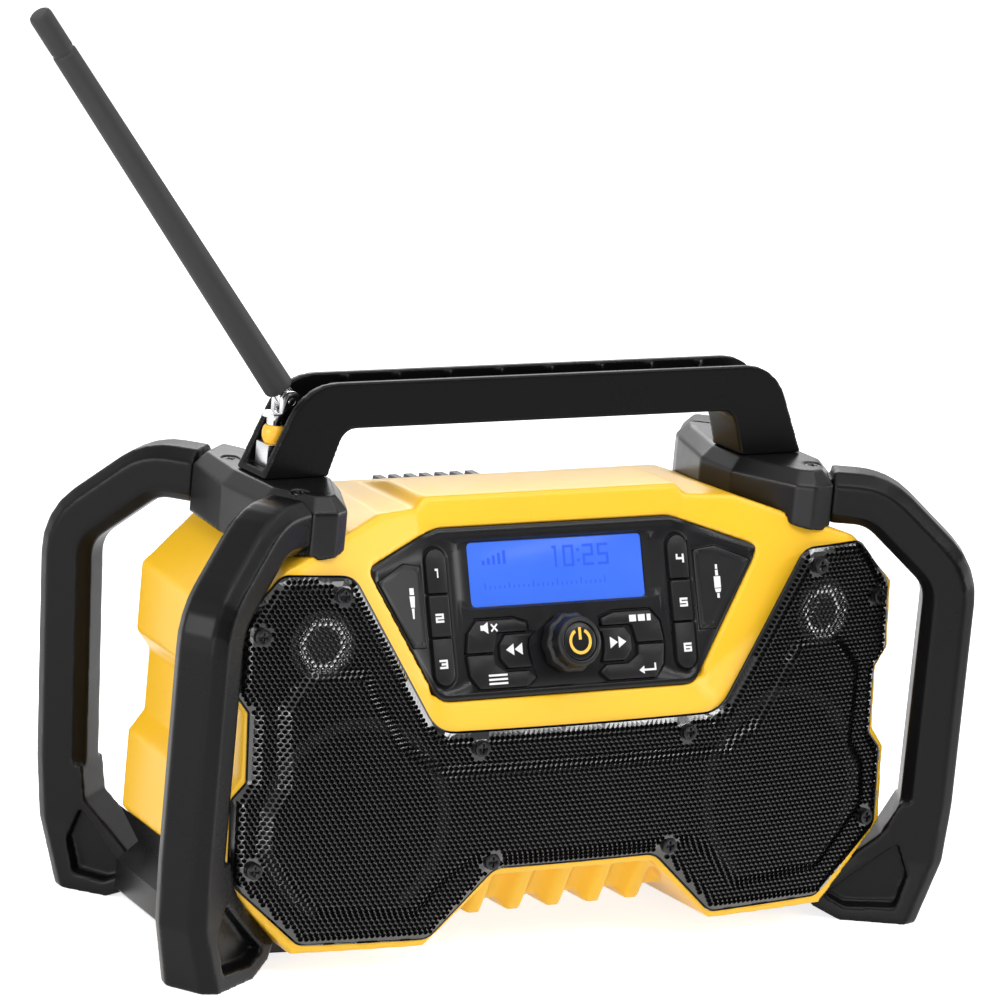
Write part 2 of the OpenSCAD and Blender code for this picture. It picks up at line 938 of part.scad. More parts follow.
module encoder() {
    color("silver")
        on_panel()
            translate([0, knob_v, 0])
                difference() {
                    union() {
                        translate([-6.5, -6.5, board_w + board_t]) cube([13, 13, 5.2]);
                        translate([0, 0, board_w + board_t]) cylinder(r = encoder_r, h = -board_w - board_t);
                    }
                    translate([0, 0, -50]) cylinder(r = shaft_r + pin_fit, h = 100);
                }
}

module knob_shaft() {
    color("silver")
        on_panel()
            translate([0, knob_v, shaft_low])
                cylinder(r = shaft_r, h = -shaft_low + knob_gap + 3);
}

module volume_knob() {
    color([0.12, 0.12, 0.13])
        on_panel()
            translate([0, knob_v, knob_gap])
                difference() {
                    union() {
                        cylinder(r = knob_d / 2, h = knob_h * 0.45);
                        cylinder(r = knob_d / 2 - 2, h = knob_h);
                    }
                    translate([0, 0, -eps]) cylinder(r = shaft_r + 0.02, h = 3 + eps);
                    translate([0, 0, knob_h - 4.5]) cylinder(r = button_r + 0.2, h = 10);
                }
}

module power_button() {
    color([0.1, 0.1, 0.1])
        on_panel()
            translate([0, knob_v, knob_gap + knob_h - 3])
                cylinder(r = button_r, h = 2.7);
}

module port_cover(side) {
    color([0.08, 0.08, 0.08])
        scale([side, 1, 1])
            on_wing()
                translate([0, 0, -cover_t])
                    linear_extrude(cover_t)
                        polygon(cover_pts);
}

// Box behind a wing, with its socket opening to the front
module socket_box() {
    on_wing()
        difference() {
            translate([6.2, 34.2, -13])
                cube([9.6, 14.6, 13 - cover_t - 0.6]);
            children();
        }
}

module usb_socket() {
    color("silver")
        left_side()
            socket_box()
                translate([8.7, 35.3, -11])
                    cube([4.6, 12.4, 20]);
}

module aux_socket() {
    color("silver")
        socket_box()
            translate([11, 41.5, -12])
                cylinder(r = 1.8, h = 30);
}

// ---- electronics behind ----

module main_board() {
    color("darkgreen")
        translate([0, bay_y - shell - stud_h - board_t, main_z]) {
            translate([-main_w / 2, 0, 0])
                cube([main_w, board_t, main_h]);
            // transformer and heat sink
            translate([-30, -12, 14])
                cube([24, 12, 40]);
            translate([10, -8, 24])
                cube([30, 8, 30]);
        }
}

module dc_inlet() {
    color([0.15, 0.15, 0.15])
        translate([inlet_x, 0, inlet_z])
            difference() {
                union() {
                    translate([0, rear_y - 12, 0]) rotate([-90, 0, 0]) cylinder(r = inlet_r, h = 12);
                    translate([0, rear_y, 0]) rotate([-90, 0, 0]) cylinder(r = inlet_r + 2.5, h = 1.6);
                }
                translate([0, rear_y - 9, 0]) rotate([-90, 0, 0]) cylinder(r = 3.2, h = 20);
            }
}

// ---- guards ----

// Centre line of a guard bar as [t, z]: seam, slope, upright, and in under the foot
function lean(set, z) = set[4] * (z - lean_z);
function bar_path(set) = [[0, bar_z], [slope_t, bar_z],
    [set[3] - bar_w / 2 + lean(set, bar_z - slope_h), bar_z - slope_h],
    [set[3] - bar_w / 2 + lean(set, foot_pts[0][1]), foot_pts[0][1]]];
bend_r = 22;
bend_n = 4;

function heading(a, b) = atan2(b[1] - a[1], b[0] - a[0]);

// Stations [t, z, heading, outer and inner half thickness] along the bar, with the bends as arcs
function bend_stations(path, i) =
    let (h0 = heading(path[i - 1], path[i]), h1 = heading(path[i], path[i + 1]),
        turn = h1 - h0, cut = bend_r * tan(abs(turn) / 2),
        c = [path[i][0] - cut * cos(h0) + bend_r * sin(h0),
            path[i][1] - cut * sin(h0) - bend_r * cos(h0)])
    [for (k = [0:bend_n]) let (h = h0 + turn * k / bend_n)
        [c[0] - bend_r * sin(h), c[1] + bend_r * cos(h), h, bar_t / 2, bar_t / 2]];

function stations(set) =
    let (path = bar_path(set))
    concat([[path[0][0], path[0][1], 0, bar_t / 2, bar_t / 2]], bend_stations(path, 1),
        bend_stations(path, 2),
        [for (p = foot_pts) [set[3] + p[0] - bar_w / 2 + lean(set, p[1]), p[1], -90,
            half_t(p[1], 1), half_t(p[1], set[5])]]);

// Outer edge of the foot, as [step from the reach, z]
foot_pts = [[0, 50], [-1.5, flare_z], [-10, 0]];

// Half the guard's thickness at a height near the foot
function half_t(z, flare) = bar_t / 2 + flare * (foot_t - bar_t) / 2 * max(0, 1 - z / flare_z);

// Eight corners of the bar's section at a station
function ring(s) =
    let (a = bar_w / 2, b = s[4], f = s[3], c = bar_c)
    [for (p = [[a, b - c], [a - c, b], [c - a, b], [-a, b - c], [-a, c - f], [c - a, -f],
        [a - c, -f], [a, c - f]])
        [s[0] - p[0] * sin(s[2]), p[1], s[1] + p[0] * cos(s[2])]];

module bar(set) {
    rows = stations(set);
    n = len(rows);
    polyhedron(
        points = [for (s = rows) each ring(s)],
        faces = concat(
            [[for (j = [0:7]) 7 - j]],
            [[for (j = [0:7]) (n - 1) * 8 + j]],
            [for (i = [0:n - 2], j = [0:7])
                [i * 8 + j, i * 8 + (j + 1) % 8, (i + 1) * 8 + (j + 1) % 8, (i + 1) * 8 + j]]));
}

// The strut from the foot in to the rail, as [t, z]
function strut_pts(set) = concat(
    [for (p = foot_pts) [set[3] + p[0] - bar_c - 1 + lean(set, p[1]), p[1]]],
    [[20, 0], [9, 5], [foot_in, foot_in_z], [strut_t, strut_z],
        [set[3] - bar_w + lean(set, foot_pts[0][1]), foot_pts[0][1]]]);

// Shallow recess in both faces of the foot
function recess_pts(set) =
    let (step = set[3] - guard_reach)
    [[41 + step + lean(set, 33), 33], [46 + step + lean(set, 20), 20], [42.5 + step + lean(set, 7), 7],
        [22, 6], [13.5, 10]];
recess_d = 4;

module strut(set) {
    intersection() {
        rotate([90, 0, 0])
            translate([0, 0, -foot_t / 2])
                linear_extrude(foot_t)
                    polygon(strut_pts(set));
        side_section(far)
            polygon([[-half_t(0, 1), 0], [half_t(0, set[5]), 0], [bar_t / 2, flare_z],
                [bar_t / 2, far], [-bar_t / 2, far], [-bar_t / 2, flare_z]]);
    }
}

module foot_recess(set) {
    for (s = [-1, 1])
        scale([1, s, 1])
            rotate([90, 0, 0])
                translate([0, 0, bar_t / 2 - recess_d])
                    linear_extrude(far)
                        polygon(recess_pts(set));
}

// A guard on the right side; a screw goes down through the tenon of a front one
module guard(set, front) {
    color([0.16, 0.16, 0.17])
        difference() {
            at_end(front)
                on_guard(set)
                    difference() {
                        union() {
                            bar(set);
                            strut(set);
                            // tenon in the corner block
                            translate([-tenon_l, -tenon / 2, bar_z - tenon / 2])
                                cube([tenon_l + 1, tenon, tenon]);
                        }
                        foot_recess(set);
                        if (front == 1)
                            translate([-block_screw, 0, 0])
                                cylinder(r = screw_r + fit, h = far);
                    }
            // the strut is cut to the body's lower edge and clears the grille's rim
            body_envelope();
            outline_prism() grille_outline(-fit);
        }
}

// ---- side rails ----

// Section of a rail measured from the body's side: [x, z]
rail_pts = [[rail_in, rail_low], [hw - rail_out - 2, rail_low], [hw - rail_out, rail_low + 2],
    [hw - rail_out, rail_top], [hw - 7.5, rail_top + 9], [hw - 1.8, bevel_z - 2.5],
    [hw - 0.8, bevel_z - 1.2], [hw - bevel_x + 0.2, body_bottom - fit],
    [rail_in, body_bottom - fit]];

// Everything from a guard's inner face to its far side, where the rail stops
module guard_room(set) {
    on_guard(set)
        translate([foot_in - 1.5, -far, -1])
            cube([far, far + foot_t / 2 + fit, far]);
}

module side_rail() {
    color([0.14, 0.14, 0.15])
        difference() {
            translate([hw, taper_y, 0])
                rotate([0, 0, side_taper])
                    rotate([90, 0, 0])
                        translate([-hw, 0, taper_y - rear_root_y - 6])
                            linear_extrude(rear_root_y + root_y + 6)
                                polygon(rail_pts);
            for (s = [-1, 1]) {
                translate([rail_screw_x, s * rail_screw_y, 0]) cylinder(r = screw_r + fit, h = far);
                translate([rail_screw_x, s * rail_screw_y, 0])
                    cylinder(r = head_r + fit, h = rail_low + head_h);
            }
            guard_room(front_set);
            at_end(-1) guard_room(rear_set);
            body_envelope();
        }
}

// ---- corner blocks ----

// Inner edge of a corner block, from the front seam to the rear seam
block_pts = [[block_in + 19.5, -43], [block_in + 13, -39], [block_in + 4, -20], [block_in, -12],
    [block_in, 10], [block_in + 6, 20], [block_in + 8.5, 36], [block_in + 10.5, 42],
    [block_in + 14, 49]];
// Its underside in front of the body, which rises toward the middle
block_foot = [[block_in - 30, block_low + 19.5], [block_in + 2, block_low + 6.5],
    [block_in + 16, block_low + 2], [block_in + 30, block_low - 0.1]];

// Ends of a seam between block and guard, square across the bar
function seam_pts(set) = [for (s = [-1, 1]) [set[0] + s * bar_t / 2 * sin(set[2]),
    -set[1] + s * bar_t / 2 * cos(set[2])]];

function flip(v) = [for (p = v) [p[0], -p[1]]];
function rev(v) = [for (i = [len(v) - 1:-1:0]) v[i]];

module block_outline(inset) {
    offset(delta = -inset)
        polygon(concat(rev(block_pts), seam_pts(front_set), [[hw - 21.3, 8]],
            flip(rev(seam_pts(rear_set)))));
}

module corner_block() {
    color([0.15, 0.15, 0.16])
        difference() {
            hull() {
                translate([0, 0, block_low])
                    linear_extrude(block_top - block_edge - block_low) block_outline(0);
                translate([0, 0, block_top - 1])
                    linear_extrude(1) block_outline(block_edge - 0.5);
            }
            body_envelope();
            rotate([90, 0, 0])
                translate([0, 0, -far])
                    linear_extrude(2 * far)
                        polygon(concat(block_foot, [[block_in + 30, 0], [block_in - 30, 0]]));
            tenon_socket(front_set);
            at_end(-1) tenon_socket(rear_set);
            on_guard(front_set)
                translate([-block_screw, 0, 0])
                    cap_screw_hole();
            translate([cap_screw[0], cap_screw[1], 0])
                cap_screw_hole();
            // socket of the handle's leg, and the space that a lower handle would take
            translate([leg_in + 6, -channel_w / 2, block_top - leg_tenon - 0.5])
                cube([leg_out - leg_in - 10, channel_w, 20]);
            handle_profile();
            aerial_well();
        }
}

module tenon_socket(set) {
    on_guard(set)
        translate([-tenon_l - fit, -tenon / 2 - fit / 2, bar_z - tenon / 2 - fit / 2])
            cube([tenon_l + 5, tenon + fit, tenon + fit]);
}

module cap_screw_hole() {
    cylinder(r = screw_r + fit, h = far);
    translate([0, 0, block_top - block_sink]) cylinder(r = head_r + fit, h = far);
}

module block_screws() {
    color("dimgray")
        both_sides() {
            on_guard(front_set)
                translate([-block_screw, 0, block_top - block_sink])
                    screw(16);
            translate([cap_screw[0], cap_screw[1], block_top - block_sink])
                screw(cap_screw_l - 2);
        }
}

// ---- handle ----

grip_low = handle_top - grip_h;
handle_out = [[leg_out, block_top], [grip_x + 1.6, handle_top - 12.9],
    [grip_x - 0.4, handle_top - 9.3], [grip_x - 3.4, handle_top - 5.9],
    [grip_x - 7.6, handle_top - 2.7], [grip_x - 12.4, handle_top - 0.7], [grip_x - 18, handle_top],
    [-5, handle_top]];
handle_in = [[-5, grip_low], [leg_in - 11, grip_low], [leg_in - 7.7, grip_low - 0.8],
    [leg_in - 5.3, grip_low - 2.9], [leg_in - 3.9, grip_low - 5.9], [leg_in, block_top]];
web_out = [[leg_in + web_t + 0.4, block_top - 1], [leg_in - 0.2, grip_low - 5.5],
    [leg_in - 1.9, grip_low - 1.3], [leg_in - 4.9, grip_low + 1.9],
    [leg_in - 9.5, grip_low + web_t], [-5, grip_low + web_t]];

module handle_profile() {
    rotate([90, 0, 0])
        translate([0, 0, -handle_d / 2])
            linear_extrude(handle_d)
                polygon(concat(handle_out, handle_in));
}

module handle() {
    color([0.13, 0.13, 0.14])
        both_sides()
            difference() {
                union() {
                    handle_profile();
                    // tenon in the block
                    translate([leg_in + 6 + fit / 2, -channel_w / 2 + fit / 2, block_top - leg_tenon])
                        cube([leg_out - leg_in - 10 - fit, channel_w - fit, leg_tenon + leg_floor]);
                }
                aerial_well();
                rotate([90, 0, 0])
                    translate([0, 0, -channel_w / 2])
                        linear_extrude(channel_w)
                            polygon(concat(web_out, [[-5, far], [far, far], [far, block_top + leg_floor],
                                [leg_in + web_t + 0.4, block_top + leg_floor]]));
            }
    // small lugs that hold the folded aerial down
    color([0.13, 0.13, 0.14])
        for (i = [0:lug_n - 1])
            translate([(i - (lug_n - 1) / 2) * lug_pitch, channel_w / 2 - 0.8, handle_top - 2.2])
                rotate([-90, 0, 0])
                    cylinder(r = 1.5, h = 1.2);
}

// ---- aerial ----

module on_pivot() {
    translate([pivot_x, 0, pivot_z]) children();
}

// Space that the aerial's post and knuckle would need in a lower handle
module aerial_well() {
    translate([-pivot_x - ear_r - fit, -post_w / 2 - fit, post_low])
        cube([pivot_x - post_x + ear_r + post_w / 2 + 2 * fit, post_w + 2 * fit, far]);
}

module antenna_post() {
    color("silver")
        translate([post_x, 0, 0])
            difference() {
                translate([-post_w / 2, -post_w / 2, post_low])
                    cube([post_w, post_w, collar_low - post_low]);
                translate([0, 0, post_low - 1]) cylinder(r = collar_pin + pin_fit, h = far);
            }
}

module antenna_collar() {
    color("gold")
        translate([post_x, 0, collar_low]) {
            cylinder(r1 = collar_neck, r2 = collar_r, h = 2.4);
            translate([0, 0, 2.4]) cylinder(r = collar_r, h = 2.2);
            translate([0, 0, 4.6]) cylinder(r1 = collar_r, r2 = collar_neck, h = 2.4);
            translate([0, 0, -8]) cylinder(r = collar_pin, h = 10);
        }
}

module antenna_knuckle() {
    color("gainsboro")
        difference() {
            union() {
                translate([post_x, 0, pivot_z - 9.5]) cylinder(r = 3, h = 3);
                translate([pivot_x - 7.5, -blade_t / 2 - ear_t, pivot_z - 7])
                    cube([7.5 + ear_r, blade_t + 2 * ear_t, 2.4]);
                on_pivot()
                    for (s = [-1, 1])
                        translate([0, s * (blade_t + ear_t + fit) / 2, 0]) {
                            rotate([90, 0, 0])
                                cylinder(r = ear_r, h = ear_t - fit, center = true);
                            translate([-ear_r, -(ear_t - fit) / 2, -6])
                                cube([2 * ear_r, ear_t - fit, 6]);
                        }
            }
            on_pivot()
                rotate([90, 0, 0])
                    cylinder(r = pin_r, h = 40, center = true);
        }
}

module antenna_pin() {
    color("silver")
        on_pivot()
            rotate([90, 0, 0])
                cylinder(r = pin_r, h = blade_t + 2 * ear_t, center = true);
}

module antenna_blade() {
    color("gainsboro")
        on_pivot()
            rotate([0, -whip_tilt, 0])
                difference() {
                    union() {
                        rotate([90, 0, 0]) cylinder(r = ear_r - 0.4, h = blade_t - fit, center = true);
                        translate([-ear_r + 0.4, -(blade_t - fit) / 2, 0])
                            cube([2 * ear_r - 0.8, blade_t - fit, sleeve_gap]);
                        translate([0, 0, sleeve_gap]) cylinder(r = 2, h = 16);
                    }
                    rotate([90, 0, 0]) cylinder(r = pin_r + pin_fit, h = 40, center = true);
                }
}

module antenna_whip() {
    color([0.2, 0.2, 0.21])
        on_pivot()
            rotate([0, -whip_tilt, 0])
                translate([0, 0, sleeve_gap])
                    difference() {
                        rotate_extrude()
                            polygon([[0, 0], [whip_d / 2 - 0.6, 0], [whip_d / 2, 0.8],
                                [whip_tip_d / 2 + 0.25, whip_l - 19], [whip_tip_d / 2 - 0.3, whip_l - 18.5],
                                [whip_tip_d / 2 - 0.3, whip_l - 17.5], [whip_tip_d / 2 + 0.1, whip_l - 17],
                                [whip_tip_d / 2, whip_l - 1], [whip_tip_d / 2 - 1, whip_l], [0, whip_l]]);
                        translate([0, 0, -1]) cylinder(r = 2 + pin_fit, h = 17.4);
                    }
}

// ---- battery ----

module dock_rails() {
    both_sides() {
        translate([rail_x, bay_y + dock_t - eps, bay_low + 2])
            cube([rail_t, pack_y - bay_y - dock_t - 0.5, dock_h - 4]);
        translate([rail_x - lip_in, pack_y - 3, bay_low + 2])
            cube([rail_t + lip_in, 2.5, dock_h - 4]);
    }
}

module battery_dock() {
    color([0.18, 0.18, 0.18])
        difference() {
            union() {
                translate([-bay_half + 2, bay_y, bay_low])
                    cube([2 * bay_half - 4, dock_t, dock_h]);
                dock_rails();
                // stop under the pack, holding the contacts
                translate([-rail_x - rail_t, bay_y, bay_low])
                    cube([2 * (rail_x + rail_t), pack_y - bay_y + 20, pack_low - bay_low - fit]);
            }
            for (i = [0:blade_n - 1])
                translate([contact_x(i) - 0.5 - pin_fit, pack_y + 2 - pin_fit, 0])
                    cube([1 + 2 * pin_fit, 8 + 2 * pin_fit, far]);
            both_sides()
                for (z = [60, 130])
                    translate([dock_screw_x, 0, z])
                        rotate([-90, 0, 0])
                            cylinder(r = screw_r + screw_fit, h = 100);
        }
}

function contact_x(i) = (i - (blade_n - 1) / 2) * 14;

module battery_terminals() {
    color("goldenrod")
        for (i = [0:blade_n - 1])
            translate([contact_x(i) - 0.5, pack_y + 2, bay_low])
                cube([1, 8, pack_low - bay_low + 12]);
}

module battery_pack() {
    color([0.2, 0.2, 0.2])
        difference() {
            union() {
                translate([-pack_w / 2, pack_y, pack_low]) cube([pack_w, pack_d, pack_h]);
                translate([-rail_x + lip_in + 0.4, bay_y + dock_t + 4.4, pack_low])
                    cube([2 * (rail_x - lip_in - 0.4), pack_y - bay_y - dock_t - 4, pack_h - 12]);
                translate([-rail_x + 0.4, bay_y + dock_t + 1, pack_low])
                    cube([2 * (rail_x - 0.4), flange_t, pack_h - 12]);
            }
            for (i = [0:blade_n - 1])
                translate([contact_x(i) - 1.2, pack_y + 1.2, pack_low - 1])
                    cube([2.4, 9.6, 15]);
            translate([-latch_w / 2 - fit, latch_y - fit, latch_top - 8 - latch_travel - fit])
                cube([latch_w + 2 * fit, latch_d + 2 * fit, 40]);
        }
}

latch_y = pack_y + pack_d - latch_d - 3;

module battery_latch() {
    color("gray") {
        translate([-latch_w / 2, latch_y, latch_top - 8])
            cube([latch_w, latch_d, 6]);
        for (i = [0:6])
            translate([-latch_w / 2 + 1.4 + i * 7.2, latch_y, latch_top - 2 - eps])
                cube([4, latch_d, 2]);
    }
}

front_housing();
rear_housing();
speaker_grille();
grille_screws();
control_bezel();
lcd_lens();
lcd_module();
control_board();
main_board();
memory_key(-1, 0);  // key_1
memory_key(-1, 1);  // key_2
memory_key(-1, 2);  // key_3
memory_key(1, 0);  // key_4
memory_key(1, 1);  // key_5
memory_key(1, 2);  // key_6
function_key(mode_pts, -1);  // key_mute
function_key(enter_pts, -1);  // key_menu
function_key(mode_pts, 1);  // key_mode
function_key(enter_pts, 1);  // key_enter
function_key(seek_pts, -1);  // key_seek_back
function_key(seek_pts, 1);  // key_seek_forward
volume_knob();
knob_shaft();
encoder();
power_button();
port_cover(-1);  // usb_cover
usb_socket();
port_cover(1);  // aux_cover
aux_socket();
left_side() woofer_frame();  // woofer_frame_left
woofer_frame();  // woofer_frame_right
left_side() woofer_cone();  // woofer_cone_left
woofer_cone();  // woofer_cone_right
left_side() woofer_magnet();  // woofer_magnet_left
woofer_magnet();  // woofer_magnet_right
left_side() tweeter();  // tweeter_left
tweeter();  // tweeter_right
left_side() guard(front_set, 1);  // guard_front_left
guard(front_set, 1);  // guard_front_right
left_side() guard(rear_set, -1);  // guard_rear_left
guard(rear_set, -1);  // guard_rear_right
left_side() side_rail();  // side_rail_left
side_rail();  // side_rail_right
left_side() corner_block();  // corner_block_left
corner_block();  // corner_block_right
block_screws();
handle();
antenna_post();
antenna_collar();
antenna_knuckle();
antenna_pin();
antenna_blade();
antenna_whip();
battery_dock();
battery_terminals();
battery_pack();
battery_latch();
housing_screws();
dc_inlet();
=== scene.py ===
# %% [markdown]
# # A jobsite radio
# This notebook dresses a radio for building sites: a yellow shell between four rubber guards, with a
# steel speaker grille, a control panel, a carrying handle, a folding aerial and a battery at the back.
# The solid parts come packed with their joints. Each step keeps a part and gives it a finish, or
# builds a finer piece in its place. Lengths are typed in millimetres, as on a drawing, and turned
# into Blender's metres by one factor.

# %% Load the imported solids
import math
import bpy
import numpy as np
from mathutils import Matrix, Vector
from mathutils.geometry import delaunay_2d_cdt


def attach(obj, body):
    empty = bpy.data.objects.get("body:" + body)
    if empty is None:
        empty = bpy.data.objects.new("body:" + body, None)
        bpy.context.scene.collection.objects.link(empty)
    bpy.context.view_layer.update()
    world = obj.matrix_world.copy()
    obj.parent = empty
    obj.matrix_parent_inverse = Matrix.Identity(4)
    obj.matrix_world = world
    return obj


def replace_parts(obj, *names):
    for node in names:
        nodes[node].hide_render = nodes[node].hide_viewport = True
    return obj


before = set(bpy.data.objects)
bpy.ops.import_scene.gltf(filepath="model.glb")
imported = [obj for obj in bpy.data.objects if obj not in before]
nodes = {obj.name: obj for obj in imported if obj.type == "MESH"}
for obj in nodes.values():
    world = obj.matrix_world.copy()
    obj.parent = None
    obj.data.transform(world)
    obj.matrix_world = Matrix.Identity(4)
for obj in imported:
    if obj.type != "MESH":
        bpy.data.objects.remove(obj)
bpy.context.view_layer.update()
MM = 0.001

# %% [markdown]
# ## Camera
# A product shot is taken from far away with a long lens, so that the box keeps its proportions. A
# camera can be aimed with a constraint, or its axes can be set as a matrix. The matrix is chosen
# because it holds every angle at once, the slight roll included.

# %% Camera
def aimed(eye, right, up, back):
    turn = Matrix((right, up, back)).transposed().to_4x4()
    return Matrix.Translation(Vector(eye) * MM) @ turn


lens = bpy.data.cameras.new("camera")
lens.sensor_width = 36
lens.lens = 226.68
lens.clip_end = 50
camera = bpy.data.objects.new("camera", lens)
camera.matrix_world = aimed(
    (-1318.0, -1995.28, 731.51),
    (0.84446, -0.52764, 0.09206),
    (0.04650, 0.24346, 0.96880),
    (-0.53359, -0.81383, 0.23013),
)
bpy.context.scene.collection.objects.link(camera)
bpy.context.scene.camera = camera
print("lens of", round(lens.lens), "mm")

# %% [markdown]
# ## Light
# Black rubber and glossy yellow plastic show their shape only by what they reflect. Large soft
# panels give wide, quiet highlights, where a small lamp would give hot spots. One panel hangs over
# the radio, the key stands high in front of it, and one behind lights the upper edges. Three narrow
# strips draw bright lines along the rounded edges, two side panels fill the ends, and a low one
# lights the undersides. No strong panel stands where the flat front would mirror it into the lens,
# so that the black faces stay black.

# %% Soft panels
MIDDLE = Vector((0, 0, 0.1))
PANELS = {
    "panel_over": ((-0.1, -0.3, 1.5), (1.4, 0.9), 5),
    "panel_key": ((-0.15, -1.3, 1.75), (1.1, 0.7), 12),
    "panel_behind": ((0.5, 1.4, 0.9), (1.2, 0.5), 7),
    "strip_over": ((0.75, -0.4, 1.35), (1.3, 0.16), 2.5),
    "strip_front": ((0.95, -1.25, 1.15), (1.1, 0.1), 5.5),
    "strip_left": ((-1.5, -0.85, 0.35), (0.08, 0.9), 1.0),
    "panel_right": ((1.85, -0.5, 0.35), (1.1, 0.6), 12),
    "panel_left": ((-1.9, -0.1, 0.6), (1.2, 0.7), 18),
    "panel_low": ((-0.9, -1.5, 0.12), (1.4, 0.16), 6),
}


def soft_panel(name, place, size, power):
    data = bpy.data.lights.new(name, "AREA")
    data.shape = "RECTANGLE"
    data.size, data.size_y = size
    data.energy = power
    lamp = bpy.data.objects.new(name, data)
    back = (Vector(place) - MIDDLE).normalized()
    lamp.matrix_world = Matrix.Translation(place) @ back.to_track_quat("Z", "Y").to_matrix().to_4x4()
    bpy.context.scene.collection.objects.link(lamp)


for name, (place, size, power) in PANELS.items():
    soft_panel(name, place, size, power)
print(len(PANELS), "panels")

# %% [markdown]
# ## World and floor
# The set is a white sweep. Light Path tells a node what kind of ray asks for the colour. The camera
# sees plain white, and diffuse light comes from a softer sky, so that the background is white
# without pouring more light on the object. Reflections see the white sweep too, but with a soft black
# flag to the right of the lens, just where the flat front would mirror the sweep into the lens, and a
# dull card on the floor below it. They keep the black front black, and let every edge that turns
# away light up. Nodes are added all through this notebook, so a helper adds one and feeds its inputs.

# %% A node and what feeds it
def add_node(tree, kind, feeds=None, **settings):
    """Each input is fed a value, or an output of another node."""
    made = tree.nodes.new(kind)
    for label, value in settings.items():
        setattr(made, label, value)
    for place, value in (feeds or {}).items():
        if isinstance(value, bpy.types.NodeSocket):
            tree.links.new(value, made.inputs[place])
        else:
            made.inputs[place].default_value = value
    return made


def on_object(tree):
    return add_node(tree, "ShaderNodeTexCoord").outputs["Object"]


def span(tree, value, low, high, to_low=0.0, to_high=1.0):
    feeds = {"Value": value, "From Min": low, "From Max": high, "To Min": to_low, "To Max": to_high}
    return add_node(tree, "ShaderNodeMapRange", feeds).outputs["Result"]


def math_node(tree, kind, a, b):
    return add_node(tree, "ShaderNodeMath", {0: a, 1: b}, operation=kind).outputs[0]


def chosen(tree, mask, otherwise, then):
    return add_node(tree, "ShaderNodeMixShader", {0: mask, 1: otherwise, 2: then}).outputs[0]


print("node helpers ready")

# %% World
SKY, SWEEP, FLAG = 0.34, 1.0, 0.04
TOWARDS_FLAG = (0.56, -0.82, -0.08)
world = bpy.data.worlds.new("sweep")
bpy.context.scene.world = world
world.use_nodes = True
tree = world.node_tree
tree.nodes.clear()
ray = add_node(tree, "ShaderNodeLightPath").outputs
where = add_node(tree, "ShaderNodeTexCoord").outputs["Generated"]
facing = add_node(tree, "ShaderNodeVectorMath", {0: where, 1: TOWARDS_FLAG}, operation="DOT_PRODUCT")
flag = add_node(tree, "ShaderNodeMapRange", {"Value": facing.outputs["Value"], "From Min": 0.35,
    "From Max": 0.9, "To Min": SWEEP, "To Max": FLAG}, interpolation_type="SMOOTHSTEP")


def background(strength):
    return add_node(tree, "ShaderNodeBackground", {"Color": (1, 1, 1, 1), "Strength": strength}).outputs[0]


sky = chosen(tree, ray["Is Glossy Ray"], background(SKY), background(flag.outputs[0]))
sky = chosen(tree, ray["Is Transmission Ray"], sky, background(SWEEP))
sky = chosen(tree, ray["Is Camera Ray"], sky, background(SWEEP))
add_node(tree, "ShaderNodeOutputWorld", {"Surface": sky})
print("white sweep set")

# %% Floor
FLOOR, GREY = 6, (0.8, 0.8, 0.8, 1)
TOWARDS_CARD = (0.53, -0.85, 0)
floor_mesh = bpy.data.meshes.new("floor")
floor_mesh.from_pydata([(x * FLOOR, y * FLOOR, 0) for x, y in ((-1, -1), (1, -1), (1, 1), (-1, 1))],
    [], [(0, 1, 2, 3)])
floor = bpy.data.objects.new("floor", floor_mesh)
bpy.context.scene.collection.objects.link(floor)
floor_look = bpy.data.materials.new("floor_white")
floor_look.use_nodes = True
tree = floor_look.node_tree
tree.nodes.clear()
ray = add_node(tree, "ShaderNodeLightPath").outputs
ahead = add_node(tree, "ShaderNodeVectorMath", {0: on_object(tree), 1: TOWARDS_CARD}, operation="DOT_PRODUCT")
card = span(tree, ahead.outputs["Value"], 0.3, 0.6, 1, 0)
mirrored_glow = math_node(tree, "MULTIPLY", ray["Is Glossy Ray"], card)
seen = math_node(tree, "ADD", mirrored_glow, ray["Is Camera Ray"])
seen = add_node(tree, "ShaderNodeMath", {0: ray["Is Transmission Ray"], 1: seen}, operation="ADD",
    use_clamp=True).outputs[0]
paint = add_node(tree, "ShaderNodeBsdfDiffuse", {"Color": GREY}).outputs[0]
glow = add_node(tree, "ShaderNodeEmission", {"Strength": 0.8}).outputs[0]
both = add_node(tree, "ShaderNodeAddShader", {0: paint, 1: glow}).outputs[0]
add_node(tree, "ShaderNodeOutputMaterial", {"Surface": chosen(tree, seen, paint, both)})
floor_mesh.materials.append(floor_look)
print("floor laid")

# %% [markdown]
# ## Effects shared by the finishes
# Moulded plastic, rubber and paint all show three things: a fine grain that breaks up highlights,
# uneven gloss where hands and dirt have been, and paler edges, partly worn and partly a painted
# highlight. Each effect is used by many materials, so each is a node group with its own inputs,
# built once.

# %% Helpers for node groups
def group(name, inputs, outputs):
    tree = bpy.data.node_groups.new(name, "ShaderNodeTree")
    for label, kind, value in inputs:
        socket = tree.interface.new_socket(label, in_out="INPUT", socket_type="NodeSocket" + kind)
        socket.default_value = value
    for label, kind in outputs:
        tree.interface.new_socket(label, in_out="OUTPUT", socket_type="NodeSocket" + kind)
    return tree, tree.nodes.new("NodeGroupInput"), tree.nodes.new("NodeGroupOutput")


def noise(tree, scale, detail, vector):
    feeds = {"Scale": scale, "Detail": detail, "Vector": vector}
    return add_node(tree, "ShaderNodeTexNoise", feeds).outputs[0]


